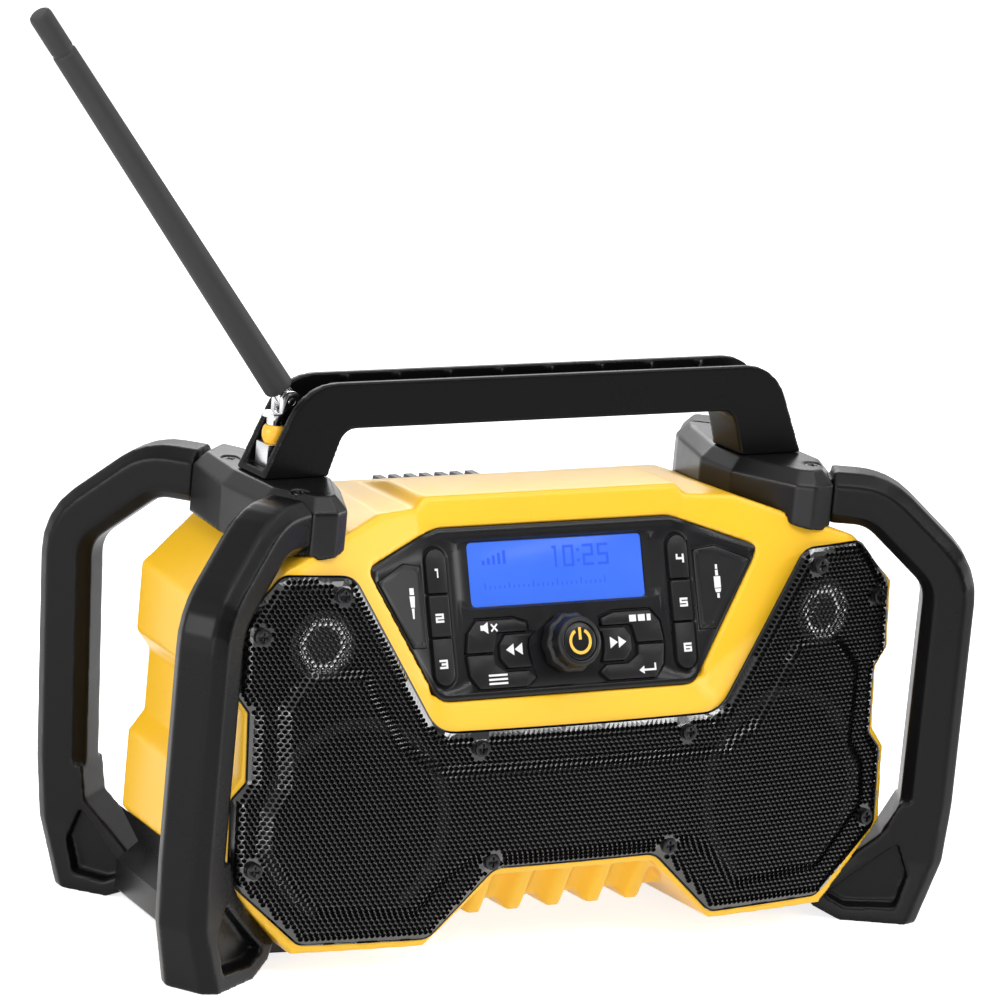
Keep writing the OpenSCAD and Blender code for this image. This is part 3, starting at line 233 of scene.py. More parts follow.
def mixed(tree, mask, a, b):
    return add_node(tree, "ShaderNodeMix", {"Factor": mask, 6: a, 7: b}, data_type="RGBA").outputs[2]


print("helpers ready")

# %% [markdown]
# ### Moulded grain
# Tools for moulded plastic are spark-eroded or etched, which leaves a pebbled surface of a few
# hundredths of a millimetre. It could be a real displacement, but that would need millions of
# faces, so noise feeds a bump height instead.

# %% Moulded grain
tree, inp, outp = group(
    "moulded_grain",
    [("Grains per metre", "Float", 1500.0)],
    [("Height", "Float")],
)
where = on_object(tree)
fine = noise(tree, inp.outputs[0], 3.0, where)
pebbles = add_node(tree, "ShaderNodeTexVoronoi", {"Scale": inp.outputs[0], "Vector": where})
height = math_node(tree, "ADD", fine, math_node(tree, "MULTIPLY", pebbles.outputs["Distance"], 0.6))
tree.links.new(height, outp.inputs[0])
print("moulded_grain built")

# %% [markdown]
# ### Handled gloss
# Gloss is never even on a used object: palms polish it and dust dulls it. Two sizes of noise
# move the roughness a little either way around the finish's own value.

# %% Handled gloss
tree, inp, outp = group(
    "handled_gloss",
    [("Roughness", "Float", 0.4), ("Spread", "Float", 0.06)],
    [("Roughness", "Float")],
)
where = on_object(tree)
broad = noise(tree, 22.0, 4.0, where)
small = noise(tree, 160.0, 5.0, where)
both = math_node(tree, "ADD", broad, math_node(tree, "MULTIPLY", small, 0.5))
swing = math_node(tree, "MULTIPLY", math_node(tree, "SUBTRACT", both, 0.75), inp.outputs[1])
swing = math_node(tree, "MULTIPLY", swing, 4.0)
tree.links.new(math_node(tree, "ADD", inp.outputs[0], swing), outp.inputs[0])
print("handled_gloss built")

# %% [markdown]
# ### Paler edges
# Convex edges are painted paler: partly because edges are knocked and worn first, and partly as a
# painted highlight along the rounded edges. Geometry's Pointiness is high on convex edges where the
# mesh is dense, and noise breaks the line so that it doesn't look drawn on.

# %% Rubbed edges
tree, inp, outp = group(
    "worn_edges_and_painted_highlight",
    [("Color", "Color", (1, 1, 1, 1)), ("Paler edge", "Color", (1, 1, 1, 1)), ("Amount", "Float", 0.5)],
    [("Color", "Color"), ("Mask", "Float")],
)
where = on_object(tree)
# Paler convex edges: partly worn, partly a painted highlight.
edge = span(tree, tree.nodes.new("ShaderNodeNewGeometry").outputs["Pointiness"], 0.515, 0.58)
broken = span(tree, noise(tree, 90.0, 6.0, where), 0.35, 0.7)
mask = math_node(tree, "MULTIPLY", math_node(tree, "MULTIPLY", edge, broken), inp.outputs[2])
tone = noise(tree, 9.0, 3.0, where)
toned = add_node(tree, "ShaderNodeHueSaturation",
    {"Color": inp.outputs[0], "Value": span(tree, tone, 0.3, 0.7, 0.96, 1.04)})
tree.links.new(mixed(tree, mask, toned.outputs[0], inp.outputs[1]), outp.inputs[0])
tree.links.new(mask, outp.inputs[1])
print("worn_edges_and_painted_highlight built")

# %% [markdown]
# ## Finishes
# One function lays out a moulded or painted finish: the three groups feed colour, roughness and
# bump, and the shader itself stays in the material, where its plain numbers are easy to read. Then
# each finish of the radio is one row of a table, and the pieces below ask for it by name.

# %% A finish from the shared effects
def moulded(name, color, paler_edge_color, rough, grain, depth, paler_edge_amount, spread, level=0.5, metal=0.0, coat=0.0):
    look = bpy.data.materials.new(name)
    look.use_nodes = True
    tree = look.node_tree
    shader = tree.nodes["Principled BSDF"].inputs
    shader["Metallic"].default_value = metal
    shader["Specular IOR Level"].default_value = level
    shader["Coat Weight"].default_value = coat
    shader["Coat Roughness"].default_value = 0.12

    def effect(label, feeds):
        return add_node(tree, "ShaderNodeGroup", feeds, node_tree=bpy.data.node_groups[label]).outputs

    # Paler convex edges, partly worn and partly a painted highlight.
    edges = effect("worn_edges_and_painted_highlight", {"Color": (*color, 1), "Paler edge": (*paler_edge_color, 1), "Amount": paler_edge_amount})
    tree.links.new(edges["Color"], shader["Base Color"])
    gloss = effect("handled_gloss", {"Roughness": rough, "Spread": spread})
    tree.links.new(gloss["Roughness"], shader["Roughness"])
    pebbles = effect("moulded_grain", {"Grains per metre": grain})
    bump = add_node(tree, "ShaderNodeBump", {"Distance": depth * MM, "Height": pebbles["Height"]})
    tree.links.new(bump.outputs["Normal"], shader["Normal"])
    return look


print("moulded() ready")

# %% Finishes of the radio
# Colour, paler edge colour (worn edge and painted highlight), roughness, grains per metre and their
# height in millimetres, amount of paler edge, spread of the gloss, and where they aren't the usual
# ones: specular level, metal, coat.
FINISHES = {
    "shell_yellow": ((0.95, 0.54, 0.02), (1, 0.68, 0.16), 0.34, 1100, 0.012, 0.35, 0.05, 0.4, 0, 0.12),
    "guard_rubber": ((0.0045, 0.0045, 0.005), [0.025] * 3, 0.3, 1300, 0.02, 0.35, 0.05, 0.14),
    "handle_black": ((0.0035, 0.0035, 0.004), [0.02] * 3, 0.3, 1600, 0.015, 0.35, 0.05, 0.13),
    "block_black": ((0.006, 0.006, 0.0065), [0.03] * 3, 0.3, 1600, 0.015, 0.35, 0.05, 0.3),
    "panel_black": ((0.008, 0.008, 0.009), [0.05] * 3, 0.3, 2200, 0.008, 0, 0.04, 0.36),
    "key_black": ((0.009, 0.009, 0.01), [0.05] * 3, 0.4, 2600, 0.01, 0, 0.04, 0.3),
    "powder_coat": ([0.003] * 3, [0.1] * 3, 0.14, 3200, 0.006, 0, 0.05, 1),
    "print_white": ([0.82] * 3, [1] * 3, 0.5, 3000, 0.004, 0, 0.03),
    "print_yellow": ((0.95, 0.56, 0.07), [1] * 3, 0.4, 3000, 0.004, 0, 0.03),
    "whip_rubber": ((0.025, 0.025, 0.026), [0.08] * 3, 0.55, 1800, 0.03, 0.2, 0.05, 0.28),
    "pack_black": ((0.012, 0.012, 0.013), [0.05] * 3, 0.45, 1400, 0.03, 0, 0.05, 0.4),
    "latch_grey": ((0.03, 0.03, 0.031), [0.08] * 3, 0.42, 1800, 0.02, 0, 0.05),
    "collar_yellow": ((0.95, 0.5, 0.03), (1, 0.7, 0.2), 0.35, 1600, 0.01, 0, 0.04),
    "screw_black": ((0.035, 0.035, 0.037), [0.3] * 3, 0.3, 4000, 0.008, 0, 0.08, 0.5, 0.9),
    "bright_steel": ((0.78, 0.78, 0.79), [0.9] * 3, 0.16, 3000, 0.003, 0, 0.03, 0.5, 1),
    "post_steel": ((0.62, 0.62, 0.63), [0.8] * 3, 0.3, 2600, 0.005, 0, 0.06, 0.5, 1),
    "contact_brass": ((0.83, 0.6, 0.25), (0.9, 0.8, 0.5), 0.28, 2600, 0.004, 0, 0.06, 0.5, 1),
    "board_green": ((0.02, 0.12, 0.045), (0.1, 0.3, 0.1), 0.35, 2600, 0.004, 0, 0.05),
    "frame_paint": ([0.02] * 3, [0.1] * 3, 0.4, 2000, 0.01, 0, 0.06),
    "cone_paper": ((0.025, 0.025, 0.026), [0.08] * 3, 0.8, 900, 0.08, 0, 0.05, 0.2),
    "ferrite": ((0.06, 0.06, 0.065), [0.1] * 3, 0.6, 1200, 0.03, 0, 0.05, 0.4),
    "ring_silver": ((0.95, 0.95, 0.96), [1] * 3, 0.2, 2600, 0.004, 0, 0.04, 0.5, 1),
    "lamp_white": ((0.8, 0.82, 0.84), [1] * 3, 0.5, 2000, 0.006, 0, 0.05),
    "digit_blue": ((0.02, 0.06, 0.5), (0.02, 0.06, 0.5), 0.4, 2600, 0.002, 0, 0.02, 0.1),
}
looks = {name: moulded(name, *row) for name, row in FINISHES.items()}
print(len(looks), "finishes")

# %% [markdown]
# ### Speaker cloth
# Behind the perforated steel lies a black woven cloth that keeps dust off the cones. Two crossed
# waves make the weave's height, so that light caught in the holes has a thread-like break-up.

# %% Speaker cloth
def plain_finish(name, **values):
    look = bpy.data.materials.new(name)
    look.use_nodes = True
    shader = look.node_tree.nodes["Principled BSDF"].inputs
    for label, value in values.items():
        shader[label.replace("_", " ")].default_value = value
    looks[name] = look
    return look.node_tree, shader


tree, shader = plain_finish("speaker_cloth", Specular_IOR_Level=0.15)
where = on_object(tree)
threads = [add_node(tree, "ShaderNodeTexWave", {"Scale": 900, "Distortion": 0.6, "Vector": where},
    bands_direction=axis).outputs["Fac"] for axis in ("X", "Z")]
weave = math_node(tree, "MULTIPLY", *threads)
bump = add_node(tree, "ShaderNodeBump", {"Distance": 0.1 * MM, "Height": weave})
tree.links.new(bump.outputs["Normal"], shader["Normal"])
dark, pale = (0.002, 0.002, 0.002, 1), (0.006, 0.006, 0.006, 1)
tree.links.new(mixed(tree, weave, dark, pale), shader["Base Color"])
tree.links.new(span(tree, weave, 0, 1, 0.95, 0.8), shader["Roughness"])
print("speaker_cloth ready")

# %% [markdown]
# ### Backlit display
# A liquid-crystal window is lit from behind by a blue edge light, a little brighter near its
# middle. The lens is smooth plastic, so the light is an emission colour under a glossy skin, and a
# fine raster darkens it the way the pixel grid does.

# %% Backlit display
tree, shader = plain_finish("backlit_display", Roughness=0.22, Specular_IOR_Level=0.12,
    Emission_Strength=0.62)
where = on_object(tree)
raster = add_node(tree, "ShaderNodeTexChecker", {"Scale": 2200, "Vector": where}).outputs["Fac"]
cloudy = span(tree, noise(tree, 28.0, 2.0, where), 0.3, 0.7)
blue = mixed(tree, cloudy, (0.045, 0.17, 0.95, 1), (0.075, 0.225, 1.0, 1))
dotted = mixed(tree, math_node(tree, "MULTIPLY", raster, 0.12), blue, (0.02, 0.08, 0.6, 1))
tree.links.new(dotted, shader["Emission Color"])
under = mixed(tree, raster, (0.02, 0.06, 0.3, 1), (0.03, 0.08, 0.36, 1))
tree.links.new(under, shader["Base Color"])
digit_shader = looks["digit_blue"].node_tree.nodes["Principled BSDF"].inputs
digit_shader["Emission Color"].default_value = (0.03, 0.12, 0.72, 1)
digit_shader["Emission Strength"].default_value = 0.5
print("display ready")

# %% [markdown]
# ## Mesh helpers
# Every piece ends the same way: a mesh with a finish that rides on a body. Moulded parts have no
# sharp edges, and there are two good ways to round them. A fine voxel remesh with a few smoothing
# passes melts every edge alike, which suits thick rubber and shells. A bevel keeps flats crisp and
# costs few faces, which suits keys, covers and metal.

# %% Pieces, finishes and rounding
def dress(obj, look):
    if not obj.material_slots:
        obj.data.materials.append(looks[look])
    for place in obj.material_slots:
        place.link = "OBJECT"
        place.material = looks[look]
    return obj


def piece(name, verts, faces, look, body="radio", smooth=True):
    mesh = bpy.data.meshes.new(name)
    mesh.from_pydata([tuple(v) for v in verts], [], faces)
    mesh.validate()
    if smooth:
        mesh.polygons.foreach_set("use_smooth", [True] * len(mesh.polygons))
    mesh.materials.append(looks[look])
    obj = bpy.data.objects.new(name, mesh)
    bpy.context.scene.collection.objects.link(obj)
    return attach(obj, body)


def shading_nodes():
    tree = bpy.data.node_groups.new("smooth_below_angle", "GeometryNodeTree")
    for way in ("INPUT", "OUTPUT"):
        tree.interface.new_socket("Geometry", in_out=way, socket_type="NodeSocketGeometry")
    inp, outp = tree.nodes.new("NodeGroupInput"), tree.nodes.new("NodeGroupOutput")
    faces = add_node(tree, "GeometryNodeSetShadeSmooth", {"Geometry": inp.outputs[0]})
    angle = add_node(tree, "GeometryNodeInputMeshEdgeAngle").outputs["Unsigned Angle"]
    sharp = add_node(tree, "FunctionNodeCompare", {0: angle, 1: math.radians(32)}, operation="GREATER_THAN")
    edges = add_node(tree, "GeometryNodeSetShadeSmooth", {"Geometry": faces.outputs[0],
        "Selection": sharp.outputs[0], "Shade Smooth": False}, domain="EDGE")
    tree.links.new(edges.outputs[0], outp.inputs[0])
    return tree


SMOOTH_BELOW = shading_nodes()


def modifier(obj, label, kind, **settings):
    step = obj.modifiers.new(label, kind)
    for name, value in settings.items():
        setattr(step, name, value)
    return obj


def shade(obj):
    return modifier(obj, "shade", "NODES", node_group=SMOOTH_BELOW)


def weld(obj):
    return modifier(obj, "weld", "WELD", merge_threshold=0.01 * MM)


def melted(obj, voxel, passes):
    weld(obj)
    modifier(obj, "remesh", "REMESH", mode="VOXEL", voxel_size=voxel * MM, use_smooth_shade=True)
    return modifier(obj, "melt", "SMOOTH", factor=0.5, iterations=passes)


def bevelled(obj, width, rings=2, angle=30):
    weld(obj)
    modifier(obj, "flats", "DECIMATE", decimate_type="DISSOLVE", angle_limit=math.radians(0.4))
    modifier(obj, "bevel", "BEVEL", width=width * MM, segments=rings, limit_method="ANGLE",
        angle_limit=math.radians(angle), miter_outer="MITER_ARC")
    return shade(obj)


print("mesh helpers ready")

# %% [markdown]
# ## Where things sit
# Two places have their own flat coordinates. The panel leans back and its two wings fold forward, and
# the front face is bowed like a barrel. Each gets a function that turns drawing coordinates and a
# height into a point in space, so that the pieces below can be drawn flat.

# %% Coordinates on the panel and the front
PANEL_LEAN, WING_ANGLE, WING_X = math.radians(19.4), math.radians(14), 61.0
FACE_LEAN, BOW = math.radians(4.6), 1030.0


def on_panel(x, v, w):
    w += max(0.0, abs(x) - WING_X) * math.tan(WING_ANGLE)
    s, c = math.sin(PANEL_LEAN), math.cos(PANEL_LEAN)
    return Vector((x, -47 + v * s - w * c, 101.7 + v * c + w * s)) * MM


def on_front(x, z, d):
    deep = math.sqrt(BOW**2 - x**2)
    y = -59 + (BOW - deep) / math.cos(FACE_LEAN) + (z - 80) * math.tan(FACE_LEAN)
    out = Vector((x / deep / math.cos(FACE_LEAN), -1, math.tan(FACE_LEAN))).normalized()
    return (Vector((x, y, z)) + d * out) * MM


print("panel foot at", [round(a, 4) for a in on_panel(0, 0, 0)])

# %% [markdown]
# ## Drawing in the flat
# Plates, keys and printed marks start as outlines. Corners get arcs, and an outline can be moved in
# or out by a fixed distance. A constrained triangulation then fills the space between outlines, and
# each outline has its own height, so chamfers and wells come out exactly where they are drawn.

# %% Outlines
def mirrored(half):
    return half + [(-x, z) for x, z in reversed(half) if x > 1e-6]


def area(loop):
    return sum(a[0] * b[1] - b[0] * a[1] for a, b in zip(loop, loop[1:] + loop[:1])) / 2


def ccw(loop):
    return loop if area(loop) > 0 else loop[::-1]


def rounded(loop, radius, steps=4):
    """Arcs at the corners. radius is a number, or a rule that gives one for a corner."""
    loop, out = ccw(list(loop)), []
    for i, p in enumerate(loop):
        r = radius(p) if callable(radius) else radius
        p = Vector(p)
        a = Vector(loop[i - 1]) - p
        b = Vector(loop[(i + 1) % len(loop)]) - p
        turn = a.angle(b)
        if turn > math.radians(172):
            out.append(tuple(p))
            continue
        reach = min(r / math.tan(turn / 2), a.length * 0.45, b.length * 0.45)
        one, two = p + a.normalized() * reach, p + b.normalized() * reach
        for k in range(steps + 1):
            t = k / steps
            out.append(tuple(one * (1 - t) ** 2 + p * 2 * t * (1 - t) + two * t**2))
    return out


def offset(loop, d):
    loop, out = ccw(loop), []
    for i, p in enumerate(loop):
        a = (Vector(p) - Vector(loop[i - 1])).normalized()
        b = (Vector(loop[(i + 1) % len(loop)]) - Vector(p)).normalized()
        na, nb = Vector((a.y, -a.x)), Vector((b.y, -b.x))
        miter = (na + nb) / max(0.35, 1 + na.dot(nb))
        out.append(tuple(Vector(p) + miter * d))
    return out


def inside(points, loop):
    x, y = points[:, 0], points[:, 1]
    hit = np.zeros(len(points), bool)
    for (ax, ay), (bx, by) in zip(loop, loop[1:] + loop[:1]):
        if ay != by:
            hit ^= ((ay > y) != (by > y)) & (x < (bx - ax) * (y - ay) / (by - ay) + ax)
    return hit


def fill(loops, rim, holes, links=()):
    """Triangles between outlines: [(loop, height)], kept inside rim and outside holes."""
    points, edges, heights = [], [], []
    for loop, height in loops:
        start = len(points)
        points += [Vector(p) for p in loop]
        heights += [height] * len(loop)
        edges += [(start + i, start + (i + 1) % len(loop)) for i in range(len(loop))]
    for a, b in links:
        start = len(points)
        points += [Vector(a), Vector(b)]
        heights += [None, None]
        edges.append((start, start + 1))
    verts, _, faces, origin, _, _ = delaunay_2d_cdt(points, edges, [], 0, 1e-5)
    middle = np.array([np.mean([verts[i][:] for i in f], axis=0) for f in faces])
    keep = inside(middle, rim)
    for hole in holes:
        keep &= ~inside(middle, hole)
    known = {i: h for i, ids in enumerate(origin) for h in [heights[j] for j in ids] if h is not None}
    cloud = np.array([verts[i][:] for i in known])
    level = np.array(list(known.values()))
    out = []
    for i, v in enumerate(verts):
        if i not in known:
            gap = ((cloud - np.array(v[:])) ** 2).sum(1)
            known[i] = float(level[gap.argmin()])
        out.append((v[0], v[1], known[i]))
    return out, [tuple(f) for f, k in zip(faces, keep) if k]


def band(start, n):
    """Quads between two rings of n corners that follow each other."""
    return [(start + i, start + n + i, start + n + (i + 1) % n, start + (i + 1) % n) for i in range(n)]


def plate(name, creases, holes, bottom, place, look, body="radio", links=()):
    """A closed plate. creases[0] is its outer edge; holes are [(loop, height of the hole's edge)]."""
    creases = [(ccw(list(p)), h) for p, h in creases]
    holes = [(ccw(list(p)), h) for p, h in holes]
    verts, faces = [], []
    rim, cut = creases[0][0], [p for p, _ in holes]
    top, tri = fill(creases + holes, rim, cut, links)
    verts += [place(*p) for p in top]
    faces += tri
    start = len(verts)
    low, tri = fill([(rim, bottom)] + [(p, bottom) for p in cut], rim, cut, links)
    verts += [place(x, v, bottom) for x, v, _ in low]
    faces += [tuple(start + i for i in reversed(f)) for f in tri]
    for loop, height in [creases[0]] + holes:
        turn = 1 if loop is rim else -1
        faces += [quad[::turn] for quad in band(len(verts), len(loop))]
        verts += [place(x, v, height) for x, v in loop] + [place(x, v, bottom) for x, v in loop]
    obj = piece(name, verts, faces, look, body)
    weld(obj)
    return shade(obj)


print("outline helpers ready")

# %% [markdown]
# ## Yellow shell
# The real shell is two mouldings screwed together. Here both are joined into one mesh before the
# remesh, because a remeshed seam would open into a wide groove, while a real parting line is
# hairline fine.

# %% Yellow shell
def joined(name, names, look, body="radio"):
    verts, faces = [], []
    for n in names:
        start = len(verts)
        verts += [v.co.copy() for v in nodes[n].data.vertices]
        faces += [[start + i for i in p.vertices] for p in nodes[n].data.polygons]
    obj = piece(name, verts, faces, look, body)
    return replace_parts(obj, *names)


def settled(obj):
    """Turns a piece's modifiers into its mesh."""
    graph = bpy.context.evaluated_depsgraph_get()
    mesh = bpy.data.meshes.new_from_object(obj.evaluated_get(graph))
    obj.modifiers.clear()
    obj.data = mesh
    return obj


shell = joined("yellow_shell", ["front_housing", "rear_housing"], "shell_yellow")
print("shell joined:", len(shell.data.polygons), "faces before remesh")

# %% [markdown]
# The recess for the panel has arcs in its corners. A wedge in each corner is added as a closed solid
# of its own, and the remesh fuses it with the shell. Then the frame's own lower corners are rounded
# more than the rest, by smoothing weighted with a vertex group.

# %% Panel recess and frame corners
PANEL = [(58.9, 0.1), (89.8, 52.3), (53.9, 66.6), (-53.9, 66.6), (-89.8, 52.3), (-58.9, 0.1)]


def panel_radius(p):
    return 7.0 if p[1] < 10 else 3.2 if p[1] < 60 else 8.0


def wedge(corner):
    """The space between a sharp corner and its arc."""
    loop = ccw(list(PANEL))
    i = loop.index(corner)
    arcs = rounded(loop, panel_radius, 5)
    near = arcs[i * 6:i * 6 + 6]
    far = tuple(Vector(corner) + (Vector(corner) - Vector(near[2]) / 2 - Vector(near[3]) / 2) * 0.5)
    return ccw(near + [far])


def add_solid(obj, loop, low, high, place):
    mesh = obj.data
    verts = [v.co.copy() for v in mesh.vertices]
    faces = [tuple(p.vertices) for p in mesh.polygons]
    start, n = len(verts), len(loop)
    verts += [place(x, v, high) for x, v in loop] + [place(x, v, low) for x, v in loop]
    middle_x = sum(p[0] for p in loop) / n
    middle_v = sum(p[1] for p in loop) / n
    verts += [place(middle_x, middle_v, high), place(middle_x, middle_v, low)]
    for i in range(n):
        j = (i + 1) % n
        faces.append((start + i, start + n + i, start + n + j, start + j))
        faces.append((start + i, start + j, start + 2 * n))
        faces.append((start + n + j, start + n + i, start + 2 * n + 1))
    mesh.clear_geometry()
    mesh.from_pydata(verts, [], faces)


WEDGE_FOOT, WEDGE_TOP = -3.9, -0.1
for corner_point in PANEL:
    add_solid(shell, wedge(corner_point), WEDGE_FOOT, WEDGE_TOP, on_panel)
settled(melted(shell, 1.1, 5))
co = np.zeros(len(shell.data.vertices) * 3)
shell.data.vertices.foreach_get("co", co)
co = co.reshape(-1, 3) / MM
weight = np.zeros(len(co))
for side in (-1, 1):
    gap = np.linalg.norm(co - np.array(on_front(side * 65.5, 92, 3)) / MM, axis=1)
    weight = np.maximum(weight, np.clip(1.9 - gap / 8, 0, 1))
frame_corners = shell.vertex_groups.new(name="frame_corners")
for level in (0.25, 0.5, 0.75, 1.0):
    chosen_now = np.nonzero((weight > level - 0.25) & (weight <= level))[0]
    frame_corners.add([int(i) for i in chosen_now], level, "REPLACE")
modifier(shell, "frame_corners", "SMOOTH", factor=0.5, iterations=70, vertex_group="frame_corners")
print("shell has", len(shell.data.polygons), "faces")

# %% [markdown]
# ## Guards, rails, corner blocks and handle
# These are thick mouldings with generous radii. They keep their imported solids, and a remesh and
# some smoothing round their chamfers into the soft swell of rubber and glass-filled nylon. The
# rails between the feet are crisper, so they get a bevel.

# %% Cage and handle
for side in ("left", "right"):
    for end in ("front", "rear"):
        melted(dress(nodes[f"guard_{end}_{side}"], "guard_rubber"), 0.8, 10)
    bevelled(dress(nodes[f"side_rail_{side}"], "block_black"), 0.8, 3)
    melted(dress(nodes[f"corner_block_{side}"], "block_black"), 0.7, 5)
melted(dress(nodes["handle"], "handle_black"), 0.7, 6)
print("cage and handle dressed")

# %% [markdown]
# ## Speaker grille
# The grille is one sheet of thin steel, punched with round holes in staggered rows, pressed so
# that a raised field stands out, and bent back at its edge. A texture with transparent dots would
# be lighter, but real holes catch light on their rims and still look right from the side. So each
# hole is a hexagonal cell with an inner ring, and the pressed height is added to every corner. The
# walls of the holes get the sheet's thickness. Its back is never seen, so it is left open.

# %% Grille outlines
CORNERS = {(65, 92): 15, (103.6, 153.8): 9, (132.4, 154.6): 6, (148, 137.5): 5, (149.1, 111): 3,
    (143.3, 103.5): 3, (143, 76.5): 3, (148.9, 70): 3, (148.7, 39.3): 7, (119.4, 13.6): 7,
    (65.2, 13): 8, (37, 38.8): 11}


def corner_radius(p):
    return CORNERS.get((round(abs(p[0]), 1), round(p[1], 1)), 3)


GRILLE = rounded(mirrored([(0, 92)] + list(CORNERS) + [(0, 38.8)]), corner_radius, 6)
FIELD = rounded(mirrored([(0, 78.4), (64, 78), (80.5, 88), (95, 109), (97.5, 117), (119.5, 118),
    (131, 105), (129, 75), (136, 65), (137, 50), (115, 27), (74, 24), (61, 37), (50, 43.5),
    (0, 43.5)]), 6.0)
GRILLE_SCREWS = [(s * x, z) for s in (-1, 1) for x, z in
    ((108.8, 147.6), (141, 132.8), (47.4, 86.5), (40.6, 42), (140.5, 43.5))]
TWEETERS = [(-114.7, 128.3), (114.7, 128.3)]
RIM, RISE, SLOPE = 0.5, 2.5, 5.6


def depth_in(points, loop):
    """Distance to an outline, positive inside it."""
    near = np.full(len(points), 1e9)
    for a, b in zip(loop, loop[1:] + loop[:1]):
        a, b = np.array(a), np.array(b)
        along = np.clip(((points - a) @ (b - a)) / ((b - a) @ (b - a)), 0, 1)
        near = np.minimum(near, np.linalg.norm(points - (a + along[:, None] * (b - a)), axis=1))
    return np.where(inside(points, loop), near, -near)


def ramp(t):
    t = np.clip(t, 0, 1)
    return t * t * (3 - 2 * t)


def sheet_height(points):
    """Height over the shell: it rises once from the rim and once more to the field."""
    edge = ramp((depth_in(points, GRILLE) + 0.8) / SLOPE)
    field = ramp((depth_in(points, FIELD) + 3) / SLOPE)
    return RIM + RISE * edge + RISE * field * edge


print("grille outline has", len(GRILLE), "corners")

# %% Punched sheet
PITCH, SIDE, HOLE = 2.27, 1.17, 0.86
EDGE_ROOM, SCREW_ROOM = 1.5, 4.4
HEX = [(1, 1), (0, 2), (-1, 1), (-1, -1), (0, -2), (1, -1)]
places = [(2 * i + j % 2, 3 * j) for j in range(4, 94) for i in range(-70, 70)]
centres = np.array(places) * (PITCH / 2, SIDE / 2)
room = depth_in(centres, GRILLE)
punched = room > EDGE_ROOM
for x, z in GRILLE_SCREWS:
    punched &= np.hypot(centres[:, 0] - x, centres[:, 1] - z) > SCREW_ROOM
flat, index, faces, border, rims = [], {}, [], {}, []


def corner(a, b):
    if (a, b) not in index:
        index[a, b] = len(flat)
        flat.append((a * PITCH / 2, b * SIDE / 2))
    return index[a, b]


for (a, b), (cx, cz), open_here in zip(places, centres, punched):
    if not open_here:
        continue
    ring = [corner(a + da, b + db) for da, db in HEX]
    start = len(flat)
    flat += [(cx + da * PITCH / 2 * HOLE / SIDE, cz + db * HOLE / 2) for da, db in HEX]
    rims += range(start, start + 6)
    for k in range(6):
        n = (k + 1) % 6
        faces.append((ring[k], ring[n], start + n, start + k))
        edge = (ring[k], ring[n])
        if edge[::-1] in border:
            del border[edge[::-1]]
        else:
            border[edge] = True
plain = centres[(room > 0.8) & ~punched]
centres = centres[punched]
print(len(centres), "holes")

# %% Solid border of the sheet
def in_a_cell(p):
    d = centres - p
    d = d[np.hypot(d[:, 0], d[:, 1]).argmin()]
    ways = [abs(d[0] * math.cos(a) + d[1] * math.sin(a)) for a in (0, math.pi / 3, 2 * math.pi / 3)]
    return max(ways) < PITCH / 2 + 0.005


def divided(loop, step):
    out = []
    for a, b in zip(loop, loop[1:] + loop[:1]):
        n = max(1, round(math.dist(a, b) / step))
        out += [(a[0] + (b[0] - a[0]) * k / n, a[1] + (b[1] - a[1]) * k / n) for k in range(n)]
    return out


GRILLE = divided(GRILLE, 2.0)
points = [Vector(p) for p in GRILLE]
links = [(i, (i + 1) % len(GRILLE)) for i in range(len(GRILLE))]
points += [Vector(p) for p in plain]
spot = {}
for edge in border:
    for i in edge:
        if i not in spot:
            spot[i] = len(points)
            points.append(Vector(flat[i]))
    links.append((spot[edge[0]], spot[edge[1]]))
verts, _, tri, origin, _, _ = delaunay_2d_cdt(points, links, [], 0, 1e-5)
back = {v: k for k, v in spot.items()}
number = []
for v, ids in zip(verts, origin):
    known = [back[i] for i in ids if i in back]
    if known:
        number.append(known[0])
    else:
        flat.append((v[0], v[1]))
        number.append(len(flat) - 1)
middle = np.array([np.mean([verts[i][:] for i in f], axis=0) for f in tri])
keep = inside(middle, GRILLE)
for f, m, k in zip(tri, middle, keep):
    if k and not in_a_cell(m):
        faces.append(tuple(number[i] for i in f))
print("border closed with", len(faces) - 6 * len(centres), "faces")

# %% Pressed and bent
spots = np.array(flat)
heights = sheet_height(spots)
heights[rims] -= 0.03
verts = [on_front(x, z, float(d)) for (x, z), d in zip(flat, heights)]
faces += band(len(verts), len(GRILLE))
edge_heights = sheet_height(np.array(GRILLE))
verts += [on_front(x, z, float(d)) for (x, z), d in zip(GRILLE, edge_heights)]
verts += [on_front(x, z, 0.05) for x, z in offset(GRILLE, 0.25)]
sheet = piece("punched_sheet", verts, [f[::-1] for f in faces], "powder_coat", smooth=False)
weld(sheet)
modifier(sheet, "thickness", "SOLIDIFY", thickness=0.6 * MM, offset=-1, use_rim_only=True)
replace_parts(sheet, "speaker_grille")
print("sheet has", len(sheet.data.polygons), "faces")

# %% Cloth behind the sheet
def circle(x, z, r, n=32):
    turns = [2 * math.pi * k / n for k in range(n)]
    return [(x + r * math.cos(a), z + r * math.sin(a)) for a in turns]


CLOTH_FRONT, CLOTH_BACK, TWEETER_OPENING = 0.75, 0.35, 13.6
plate("speaker_cloth", [(offset(GRILLE, -0.8), CLOTH_FRONT)],
    [(circle(x, z, TWEETER_OPENING), CLOTH_FRONT) for x, z in TWEETERS],
    CLOTH_BACK, on_front, "speaker_cloth")
print("cloth laid")

# %% [markdown]
# ### Tweeters
# A tweeter shows through the punched holes as a bright ring. A lathed profile, swept round the
# speaker's axis, gives it in one mesh. The same sweep serves every round part below, so it is
# written once, for any centre and any pair of directions.

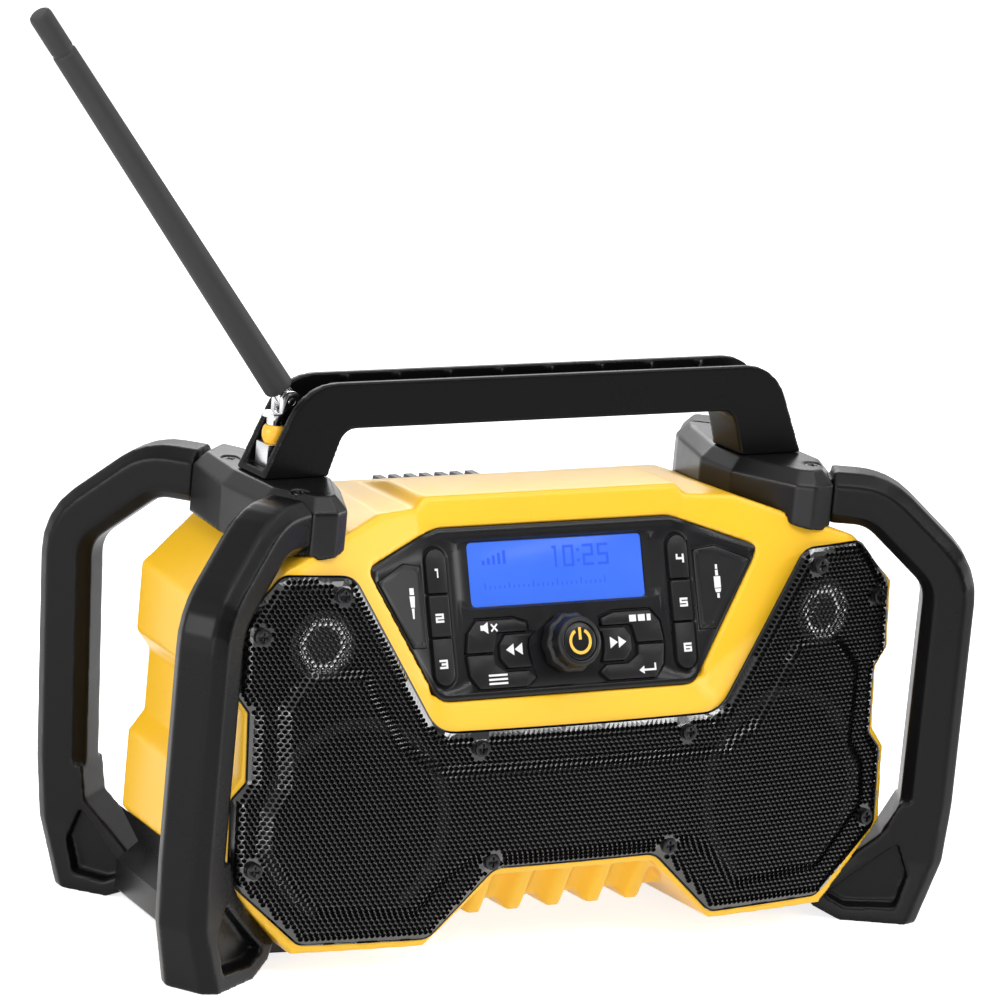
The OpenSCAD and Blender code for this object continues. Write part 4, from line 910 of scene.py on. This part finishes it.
# %% Lathe
def turned(name, profile, place, look, body="radio", count=48, ripple=None):
    verts, faces = [], []
    for r, h in profile:
        for k in range(count):
            a = 2 * math.pi * k / count
            wide = r if ripple is None else r * ripple(a, h)
            verts.append(place(wide * math.cos(a), wide * math.sin(a), h))
    for i in range(len(profile) - 1):
        for k in range(count):
            n = (k + 1) % count
            faces.append((i * count + k, i * count + n, (i + 1) * count + n, (i + 1) * count + k))
    for i, turn in ((0, -1), (len(profile) - 1, 1)):
        if profile[i][0] > 1e-6:
            faces.append(tuple(i * count + k for k in range(count))[::turn])
    obj = piece(name, verts, faces, look, body)
    weld(obj)
    return shade(obj)


RING = [(8.9, 0.1), (9.1, 1.5), (9.6, 2.1), (10.5, 2.1), (11.0, 1.5), (11.2, 0.1)]
for label, (tx, tz) in zip(("left", "right"), TWEETERS):
    def at_tweeter(x, y, h, tx=tx, tz=tz):
        return on_front(tx + x, tz + y, h)

    turned(f"tweeter_ring_{label}", RING, at_tweeter, "ring_silver")
    dress(nodes[f"tweeter_{label}"], "frame_paint")
    shade(weld(nodes[f"tweeter_{label}"]))
print("tweeters ringed")

# %% [markdown]
# ## Control panel
# The panel is one glossy black plate with soft edges. The display sits low between two ramps, and
# the keys stand in shallow wells. Booleans could carve all that from a block, but drawing each
# outline at its own height gives clean edges and exact gaps.

# %% Keys in outline
KEY_X, KEY_W = 55.7, 9.2
KEY_ROWS, KEY_LENS = (50.15, 32.9, 15.2), (17.2, 16.1, 18.2)
MODE = [(17, 28.2), (23, 30.2), (40, 30.2), (44.2, 25.5), (45.6, 17.6), (33, 17.6), (31, 25), (17, 25)]
ENTER = [(45.6, 17), (44.6, 9), (40.5, 3.6), (19, 3.6), (14.5, 7.2), (18, 10), (28, 10), (32.8, 13),
    (33, 17)]
SEEK = [(14.6, 24.2), (27.5, 24.2), (30.3, 20.6), (30.3, 15), (27, 11), (16, 11), (17.2, 15), (17.6, 19.3),
    (17, 22.5)]
WELL = [(14.1, 6.6), (18.8, 3.1), (40.9, 3.1), (45.1, 8.8), (46.15, 17.3), (44.8, 25.8), (40.3, 30.7),
    (22.8, 30.7), (16.4, 28.5), (16.4, 24.7), (13.6, 24.7), (16.4, 22.4), (17.0, 19.3), (16.6, 15.1),
    (15.4, 10.6)]
MEMORY = [(-1, 0), (-1, 1), (-1, 2), (1, 0), (1, 1), (1, 2)]
HALF_TURN = [math.pi * k / 16 for k in range(17)]
KEY_RISE = 0.55


def flipped(loop, side):
    return ccw([(side * x, v) for x, v in loop])


def memory_outline(side, row, grow=0.0):
    half, h, v = KEY_W / 2 + grow, KEY_LENS[row] / 2 + grow, KEY_ROWS[row]
    if row == 1:
        loop = [(-half, v - h), (half, v - h), (half, v + h), (-half, v + h)]
        loop = rounded(loop, 0.5, 2)
    else:
        up = 1 if row == 0 else -1
        arc = [(half * math.cos(a), v + up * (h - half + half * math.sin(a))) for a in HALF_TURN]
        loop = arc + [(-half, v - up * h), (half, v - up * h)]
    return ccw([(side * KEY_X + x, y) for x, y in loop])


def column_outline(side, grow):
    half, low, high = KEY_W / 2 + grow, 6.1 - grow, 58.75 + grow
    up = [(half * math.cos(a), high - half + half * math.sin(a)) for a in HALF_TURN]
    down = [(-x, low + high - y) for x, y in up]
    return ccw([(side * KEY_X + x, y) for x, y in up + down])


print("keys drawn")

# %% Panel plate
RAMPS = rounded(mirrored([(0, 34.5), (41, 34.5), (45.6, 35.6), (47, 38.5), (47, 57.5), (45.6, 60.4),
    (41, 61.4), (0, 61.4)]), 1.0, 2)
RAMP_FOOT = rounded(mirrored([(0, 35.1), (41, 35.1), (44.2, 36.4), (45, 38.8), (45, 57.2), (44.2, 59.6),
    (41, 60.8), (0, 60.8)]), 1.0, 2)
WINDOW = rounded([(-40.2, 35.4), (40.2, 35.4), (40.2, 60.4), (-40.2, 60.4)], 2.4)
WING_PORT = [(2, 52.5), (11, 53.5), (25.5, 47), (9, 21), (2, 21)]


def wing_loop(side, grow=0.0):
    loop = offset(WING_PORT, grow)
    return ccw([(side * (WING_X + x * math.cos(WING_ANGLE)), v) for x, v in loop])


def stepped(loop, top, deep, run):
    """Outlines of a softly rounded edge: outer, shoulder and top."""
    return [(loop, top - deep), (offset(loop, -run * 0.3), top - deep * 0.35), (offset(loop, -run), top)]


rim, flat_level = rounded(PANEL, panel_radius, 5), -0.35
creases = stepped(rim, 0.0, 1.1, 1.2) + [(offset(rim, -2.6), 0.0), (offset(rim, -3.4), flat_level)]
creases += [(RAMPS, flat_level), (RAMP_FOOT, -1.5)]
holes = [(WINDOW, -1.6)]
for side in (-1, 1):
    creases += [(column_outline(side, 1.5), flat_level), (column_outline(side, 0.45), -1.2)]
    creases += [(flipped(offset(WELL, 0.55), side), flat_level), (flipped(offset(WELL, 0.1), side), -1.1)]
    holes += [(memory_outline(side, row, 0.12), -1.2) for row in range(3)]
    holes += [(flipped(offset(loop, 0.1), side), -1.1) for loop in (MODE, ENTER, SEEK)]
    creases += [(wing_loop(side, 0.75), flat_level)]
    holes += [(wing_loop(side, 0.2), -0.6)]
folds = [((s * WING_X, 0.5), (s * WING_X, 66)) for s in (-1, 1)]
bezel = plate("panel_plate", creases, holes, -3.4, on_panel, "panel_black", links=folds)
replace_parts(bezel, "control_bezel")
print("panel plate has", len(bezel.data.polygons), "faces")

# %% [markdown]
# ### Keys and covers
# A rubber key has a softly rolled top edge. Each key is a plate of its own that goes down through
# its hole, so it can be pressed without showing a gap, and it rides on its own body.

# %% Keys
def key(name, loop):
    obj = plate(name + "_cap", stepped(loop, KEY_RISE, 0.55, 0.7), [], -5.4, on_panel, "key_black", name)
    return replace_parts(obj, name)


for i, (side, row) in enumerate(MEMORY):
    key(f"key_{i + 1}", memory_outline(side, row, -0.1))
for name, loop, side in (("key_mute", MODE, -1), ("key_mode", MODE, 1), ("key_menu", ENTER, -1),
        ("key_enter", ENTER, 1), ("key_seek_back", SEEK, -1), ("key_seek_forward", SEEK, 1)):
    key(name, flipped(offset(rounded(loop, 0.8, 2), -0.15), side))
print("12 keys stand", KEY_RISE, "mm proud")

# %% Port covers
for name, side in (("usb_cover", -1), ("aux_cover", 1)):
    loop = rounded(wing_loop(side), 1.2, 3)
    creases = stepped(loop, 0.0, 0.5, 0.6) + [(offset(loop, -2.2), 0.0), (offset(loop, -2.8), -0.25)]
    cover = plate(name + "_lid", creases, [], -2.1, on_panel, "key_black", name)
    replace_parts(cover, name)
print("2 covers hinged")

# %% [markdown]
# ### Printed marks
# Keys are marked with pad print a few hundredths of a millimetre thick. The marks are plain numbers
# and plain signs: a speaker, bars for a list, a bent arrow. Numbers are laid out on a five by five
# field of cells, whose cells share their corners, so a mark is one clean mesh.

# %% Marks
NUMBERS = {
    "1": ("..##.", "...#.", "...#.", "...#.", "...#."),
    "2": ("#####", "....#", "#####", "#....", "#####"),
    "3": ("#####", "....#", ".####", "....#", "#####"),
    "4": ("#...#", "#...#", "#####", "....#", "....#"),
    "5": ("#####", "#....", "#####", "....#", "#####"),
    "6": ("#####", "#....", "#####", "#...#", "#####"),
    "0": ("#####", "#...#", "#...#", "#...#", "#####"),
}


def cells(text, x, v, wide, tall, line=None, gap=1.0):
    """Quads of a row of numbers, centred on x, v. line is the stroke's width."""
    out, step = [], wide + gap
    line = line or wide / 5
    cols = [0, line, wide / 2 - line / 2, wide / 2 + line / 2, wide - line, wide]
    rows = [0, line, tall / 2 - line / 2, tall / 2 + line / 2, tall - line, tall]
    left = x - (len(text) * step - gap) / 2
    for n, sign in enumerate(text):
        for r, row in enumerate(NUMBERS[sign]):
            for c, dot in enumerate(row):
                if dot == "#":
                    a, b = left + n * step + cols[c], left + n * step + cols[c + 1]
                    top, low = v + tall / 2 - rows[r], v + tall / 2 - rows[r + 1]
                    out.append([(a, low), (b, low), (b, top), (a, top)])
    return out


def mark(name, shapes, height, look, body, thick=0.04, place=on_panel):
    verts, index, faces = [], {}, []

    def spot(x, v, h):
        key = (round(x, 3), round(v, 3), h)
        if key not in index:
            index[key] = len(verts)
            verts.append(place(x, v, h))
        return index[key]

    sides = {}
    for loop in shapes:
        loop = ccw(list(loop))
        faces.append(tuple(spot(x, v, height + thick) for x, v in loop))
        faces.append(tuple(spot(x, v, height) for x, v in reversed(loop)))
        for a, b in zip(loop, loop[1:] + loop[:1]):
            a, b = (round(a[0], 3), round(a[1], 3)), (round(b[0], 3), round(b[1], 3))
            if (b, a) in sides:
                del sides[(b, a)]
            else:
                sides[(a, b)] = True
    for a, b in sides:
        low, high = [(spot(*a, h), spot(*b, h)) for h in (height, height + thick)]
        faces.append(low + high[::-1])
    return piece(name, verts, faces, look, body, smooth=False)


def bar(ax, av, bx, bv, width):
    a, b = Vector((ax, av)), Vector((bx, bv))
    side = (b - a).normalized().orthogonal() * width / 2
    return [tuple(a - side), tuple(b - side), tuple(b + side), tuple(a + side)]


def ring(x, v, r, width, start, end, steps=28):
    out = []
    for k in range(steps):
        a, b = [math.radians(start + (end - start) * (k + m) / steps) for m in (0, 1)]
        out.append([(x + q * math.cos(t), v + q * math.sin(t)) for q, t in
            ((r - width / 2, a), (r + width / 2, a), (r + width / 2, b), (r - width / 2, b))])
    return out


KEY_TOP = KEY_RISE + 0.005
for i, (side, row) in enumerate(MEMORY):
    number = cells(str(i + 1), side * (KEY_X + 0.5), KEY_ROWS[row] - 0.8, 3.7, 3.5, 0.85)
    mark(f"number_{i + 1}", number, KEY_TOP, "print_white", f"key_{i + 1}")
speaker = [[(-38.4, 26.2), (-37, 26.2), (-37, 28.2), (-38.4, 28.2)],
    [(-37, 26.2), (-35, 24.9), (-35, 29.5), (-37, 28.2)], bar(-33.6, 25.7, -30.8, 28.5, 0.7),
    bar(-33.6, 28.5, -32.45, 27.35, 0.7), bar(-31.95, 26.85, -30.8, 25.7, 0.7)]
mark("sign_mute", speaker, KEY_TOP, "print_white", "key_mute")
mark("sign_list", [bar(-36.5, v, -28, v, 0.8) for v in (5.6, 7.2, 8.8)], KEY_TOP, "print_white", "key_menu")
mark("sign_mode", [bar(a, 27.2, b, 27.2, 2.6) for a, b in ((30, 33.2), (34.1, 37.3), (38.2, 40))],
    KEY_TOP, "print_white", "key_mode")
mark("sign_enter", [bar(40.2, 9.3, 40.2, 6.4, 0.8), bar(39.8, 6.8, 35, 6.8, 0.8),
    [(32.6, 6.8), (35, 5.2), (35, 8.4)]], KEY_TOP, "print_white", "key_enter")
for side, name in ((-1, "key_seek_back"), (1, "key_seek_forward")):
    mark("arrows_" + name[9:], [[(side * x, 18.3), (side * (x - 3.6), 16.0), (side * (x - 3.6), 20.6)]
        for x in (23.8, 27.7)], KEY_TOP, "print_white", name)
print("keys marked")

# %% Marks on the covers
def taper(x, v, low, high, low_half, high_half):
    """An upright mark on x, from v + low to v + high, with half its width at both ends."""
    return [(x - low_half, v + low), (x + low_half, v + low), (x + high_half, v + high),
        (x - high_half, v + high)]


FLAT_PLUG = [(3.0, 5.6, 1.1, 1.1), (-1.8, 2.5, 1.0, 1.4), (-6.2, -2.2, 0.4, 0.7)]
ROUND_PLUG = [(4.8, 6.6, 0.45, 0.45), (2.2, 4.4, 0.55, 0.55), (-2.6, 1.9, 1.3, 1.3), (-4.4, -2.9, 0.9, 1.3),
    (-6.6, -4.8, 0.5, 0.5)]
COVER_TOP = -0.245
for name, spot, shapes in (("usb", (-68.4, 38.6), FLAT_PLUG), ("aux", (71.6, 39.4), ROUND_PLUG)):
    shapes = [taper(*spot, *shape) for shape in shapes]
    mark("sign_" + name, shapes, COVER_TOP, "print_white", name + "_cover")
print("covers marked")

# %% [markdown]
# ### Display
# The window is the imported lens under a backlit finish. The numbers stand on it as thin segments in
# a slightly darker blue, since a liquid crystal never blocks its light fully. They show a plain
# time and a tuning scale.

# %% Display
dress(nodes["lcd_lens"], "backlit_display")
bevelled(nodes["lcd_lens"], 0.3, 2)
dress(nodes["lcd_module"], "lamp_white")
LENS_FOOT, LENS_THICK = -3.5, 1.6
LENS_TOP = LENS_FOOT + LENS_THICK + 0.005
digits = [quad for text, x in (("10", 2.6), ("25", 18.6)) for quad in cells(text, x, 53.2, 5, 8.4, 1.05, 1.9)]
digits += [bar(10.6, v - 0.55, 10.6, v + 0.55, 1.1) for v in (51.2, 55.2)]
scale = [bar(-33 + 2.2 * k, 42.0, -33 + 2.2 * k, 44.6 if k % 5 == 0 else 43.3, 0.5) for k in range(26)]
steps = [bar(-33 + 2.4 * k, 51.5, -33 + 2.4 * k, 53.2 + 0.9 * k, 1.3) for k in range(5)]
mark("display_numbers", digits + scale + steps, LENS_TOP, "digit_blue", "radio", 0.02)
print("display drawn")

# %% [markdown]
# ### Knob and power button
# The knob is a turned part with shallow waves round its skirt for the fingers. Its power sign is a
# ring with a gap and a bar in it. The whole knob turns, and the button inside also moves in.

# %% Knob
KNOB_V = 19.3


def at_knob(x, y, h):
    return on_panel(x, KNOB_V + y, h)


def waves(a, h):
    return 1 + (0.028 * math.cos(10 * a) - 0.028 if 1.0 < h < 6.2 else -0.03 if h < 6.2 else 0)


KNOB = [(3.1, 0.7), (11.2, 0.7), (11.9, 1.2), (12.0, 2.0), (12.0, 4.2), (11.6, 5.2), (10.4, 5.9),
    (9.95, 6.6), (9.9, 9.8), (9.6, 10.5), (9.0, 10.95), (8.2, 11.05), (7.75, 10.8), (7.6, 10.2), (7.6, 6.8),
    (3.1, 6.8)]
knob = turned("knob_skirt", KNOB, at_knob, "key_black", "knob", 120, waves)
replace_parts(knob, "volume_knob")
BUTTON = [(7.4, 8.2), (7.4, 10.2), (7.2, 10.6), (6.8, 10.78), (4, 10.8), (0.0, 10.8)]
button = turned("button_cap", BUTTON, at_knob, "panel_black", "power_button", 64)
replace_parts(button, "power_button")
sign = ring(0, KNOB_V, 4.5, 1.25, 118, 422) + [bar(0, KNOB_V + 0.6, 0, KNOB_V + 5.4, 1.25)]
mark("power_sign", sign, BUTTON[-1][1] + 0.005, "print_yellow", "power_button")
dress(nodes["knob_shaft"], "post_steel")
shade(weld(nodes["knob_shaft"]))
print("knob is", 2 * max(r for r, _ in KNOB), "mm across")

# %% [markdown]
# ## Aerial
# The whip is a coil in a tapered rubber sleeve with a ring groove near its tip. It is turned like
# the knob, along its own tilted axis. The knuckle, pin and blade that fold it are bright metal.

# %% Aerial
TILT = math.radians(38.6)


def on_aerial(x, y, h):
    lean, c = math.sin(TILT), math.cos(TILT)
    return Vector((-110.5 + x * c - h * lean, y, 211.5 + x * lean + h * c)) * MM


WHIP = [(2.2, 5.9), (4.9, 5.9), (5.5, 6.2), (5.8, 7.0), (5.78, 10), (4.68, 171.6),
    (4.55, 172.0), (4.15, 172.4), (4.15, 173.2), (4.4, 173.7), (4.42, 174.4), (4.4, 189.0), (4.1, 190.1),
    (3.3, 190.7), (0.0, 190.9)]
whip = turned("whip_sleeve", WHIP, on_aerial, "whip_rubber", "aerial", 56)
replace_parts(whip, "antenna_whip")
for name, look, width in (("antenna_knuckle", "bright_steel", 0.4), ("antenna_blade", "bright_steel", 0.3),
        ("antenna_pin", "bright_steel", 0.2), ("antenna_post", "post_steel", 0.5)):
    bevelled(dress(nodes[name], look), width)
COLLAR = [(2.2, -0.2), (3.2, 0.0), (4.1, 1.1), (4.4, 2.4), (4.45, 3.5), (4.4, 4.6), (4.1, 5.9), (3.2, 7.0),
    (0.0, 7.0)]
turned("collar_ball", COLLAR, lambda x, y, h: Vector((x - 115, y, 195 + h)) * MM, "collar_yellow", count=40)
dress(nodes["antenna_collar"], "collar_yellow")
print("aerial is", WHIP[-1][1] - WHIP[0][1], "mm long")

# %% [markdown]
# ## Battery, dock and back
# Behind, a battery slides down on rails and its latch has a ribbed thumb pad. These parts are
# crisp mouldings, so they keep their solids and get narrow bevels.

# %% Battery and the remaining solids
for name, look, width in (("battery_pack", "pack_black", 1.6), ("battery_dock", "block_black", 0.5),
        ("battery_latch", "latch_grey", 0.5), ("dc_inlet", "block_black", 0.4),
        ("battery_terminals", "contact_brass", 0.15)):
    bevelled(dress(nodes[name], look), width, 3)
for name in ("grille_screws", "block_screws", "housing_screws"):
    bevelled(dress(nodes[name], "screw_black"), 0.25, 2, 50)
INNER = {"control_board": "board_green", "main_board": "board_green", "encoder": "post_steel",
    "usb_socket": "bright_steel", "aux_socket": "bright_steel"}
for side in ("left", "right"):
    INNER.update({f"woofer_frame_{side}": "frame_paint", f"woofer_cone_{side}": "cone_paper",
        f"woofer_magnet_{side}": "ferrite"})
for name, look in INNER.items():
    shade(weld(dress(nodes[name], look)))
print("every solid has a finish")

# %% [markdown]
# ## Finish
# The colours are shown through Blender's Standard view transform.

# %% Finish
view = bpy.context.scene.view_settings
view.view_transform = "Standard"
print("done")
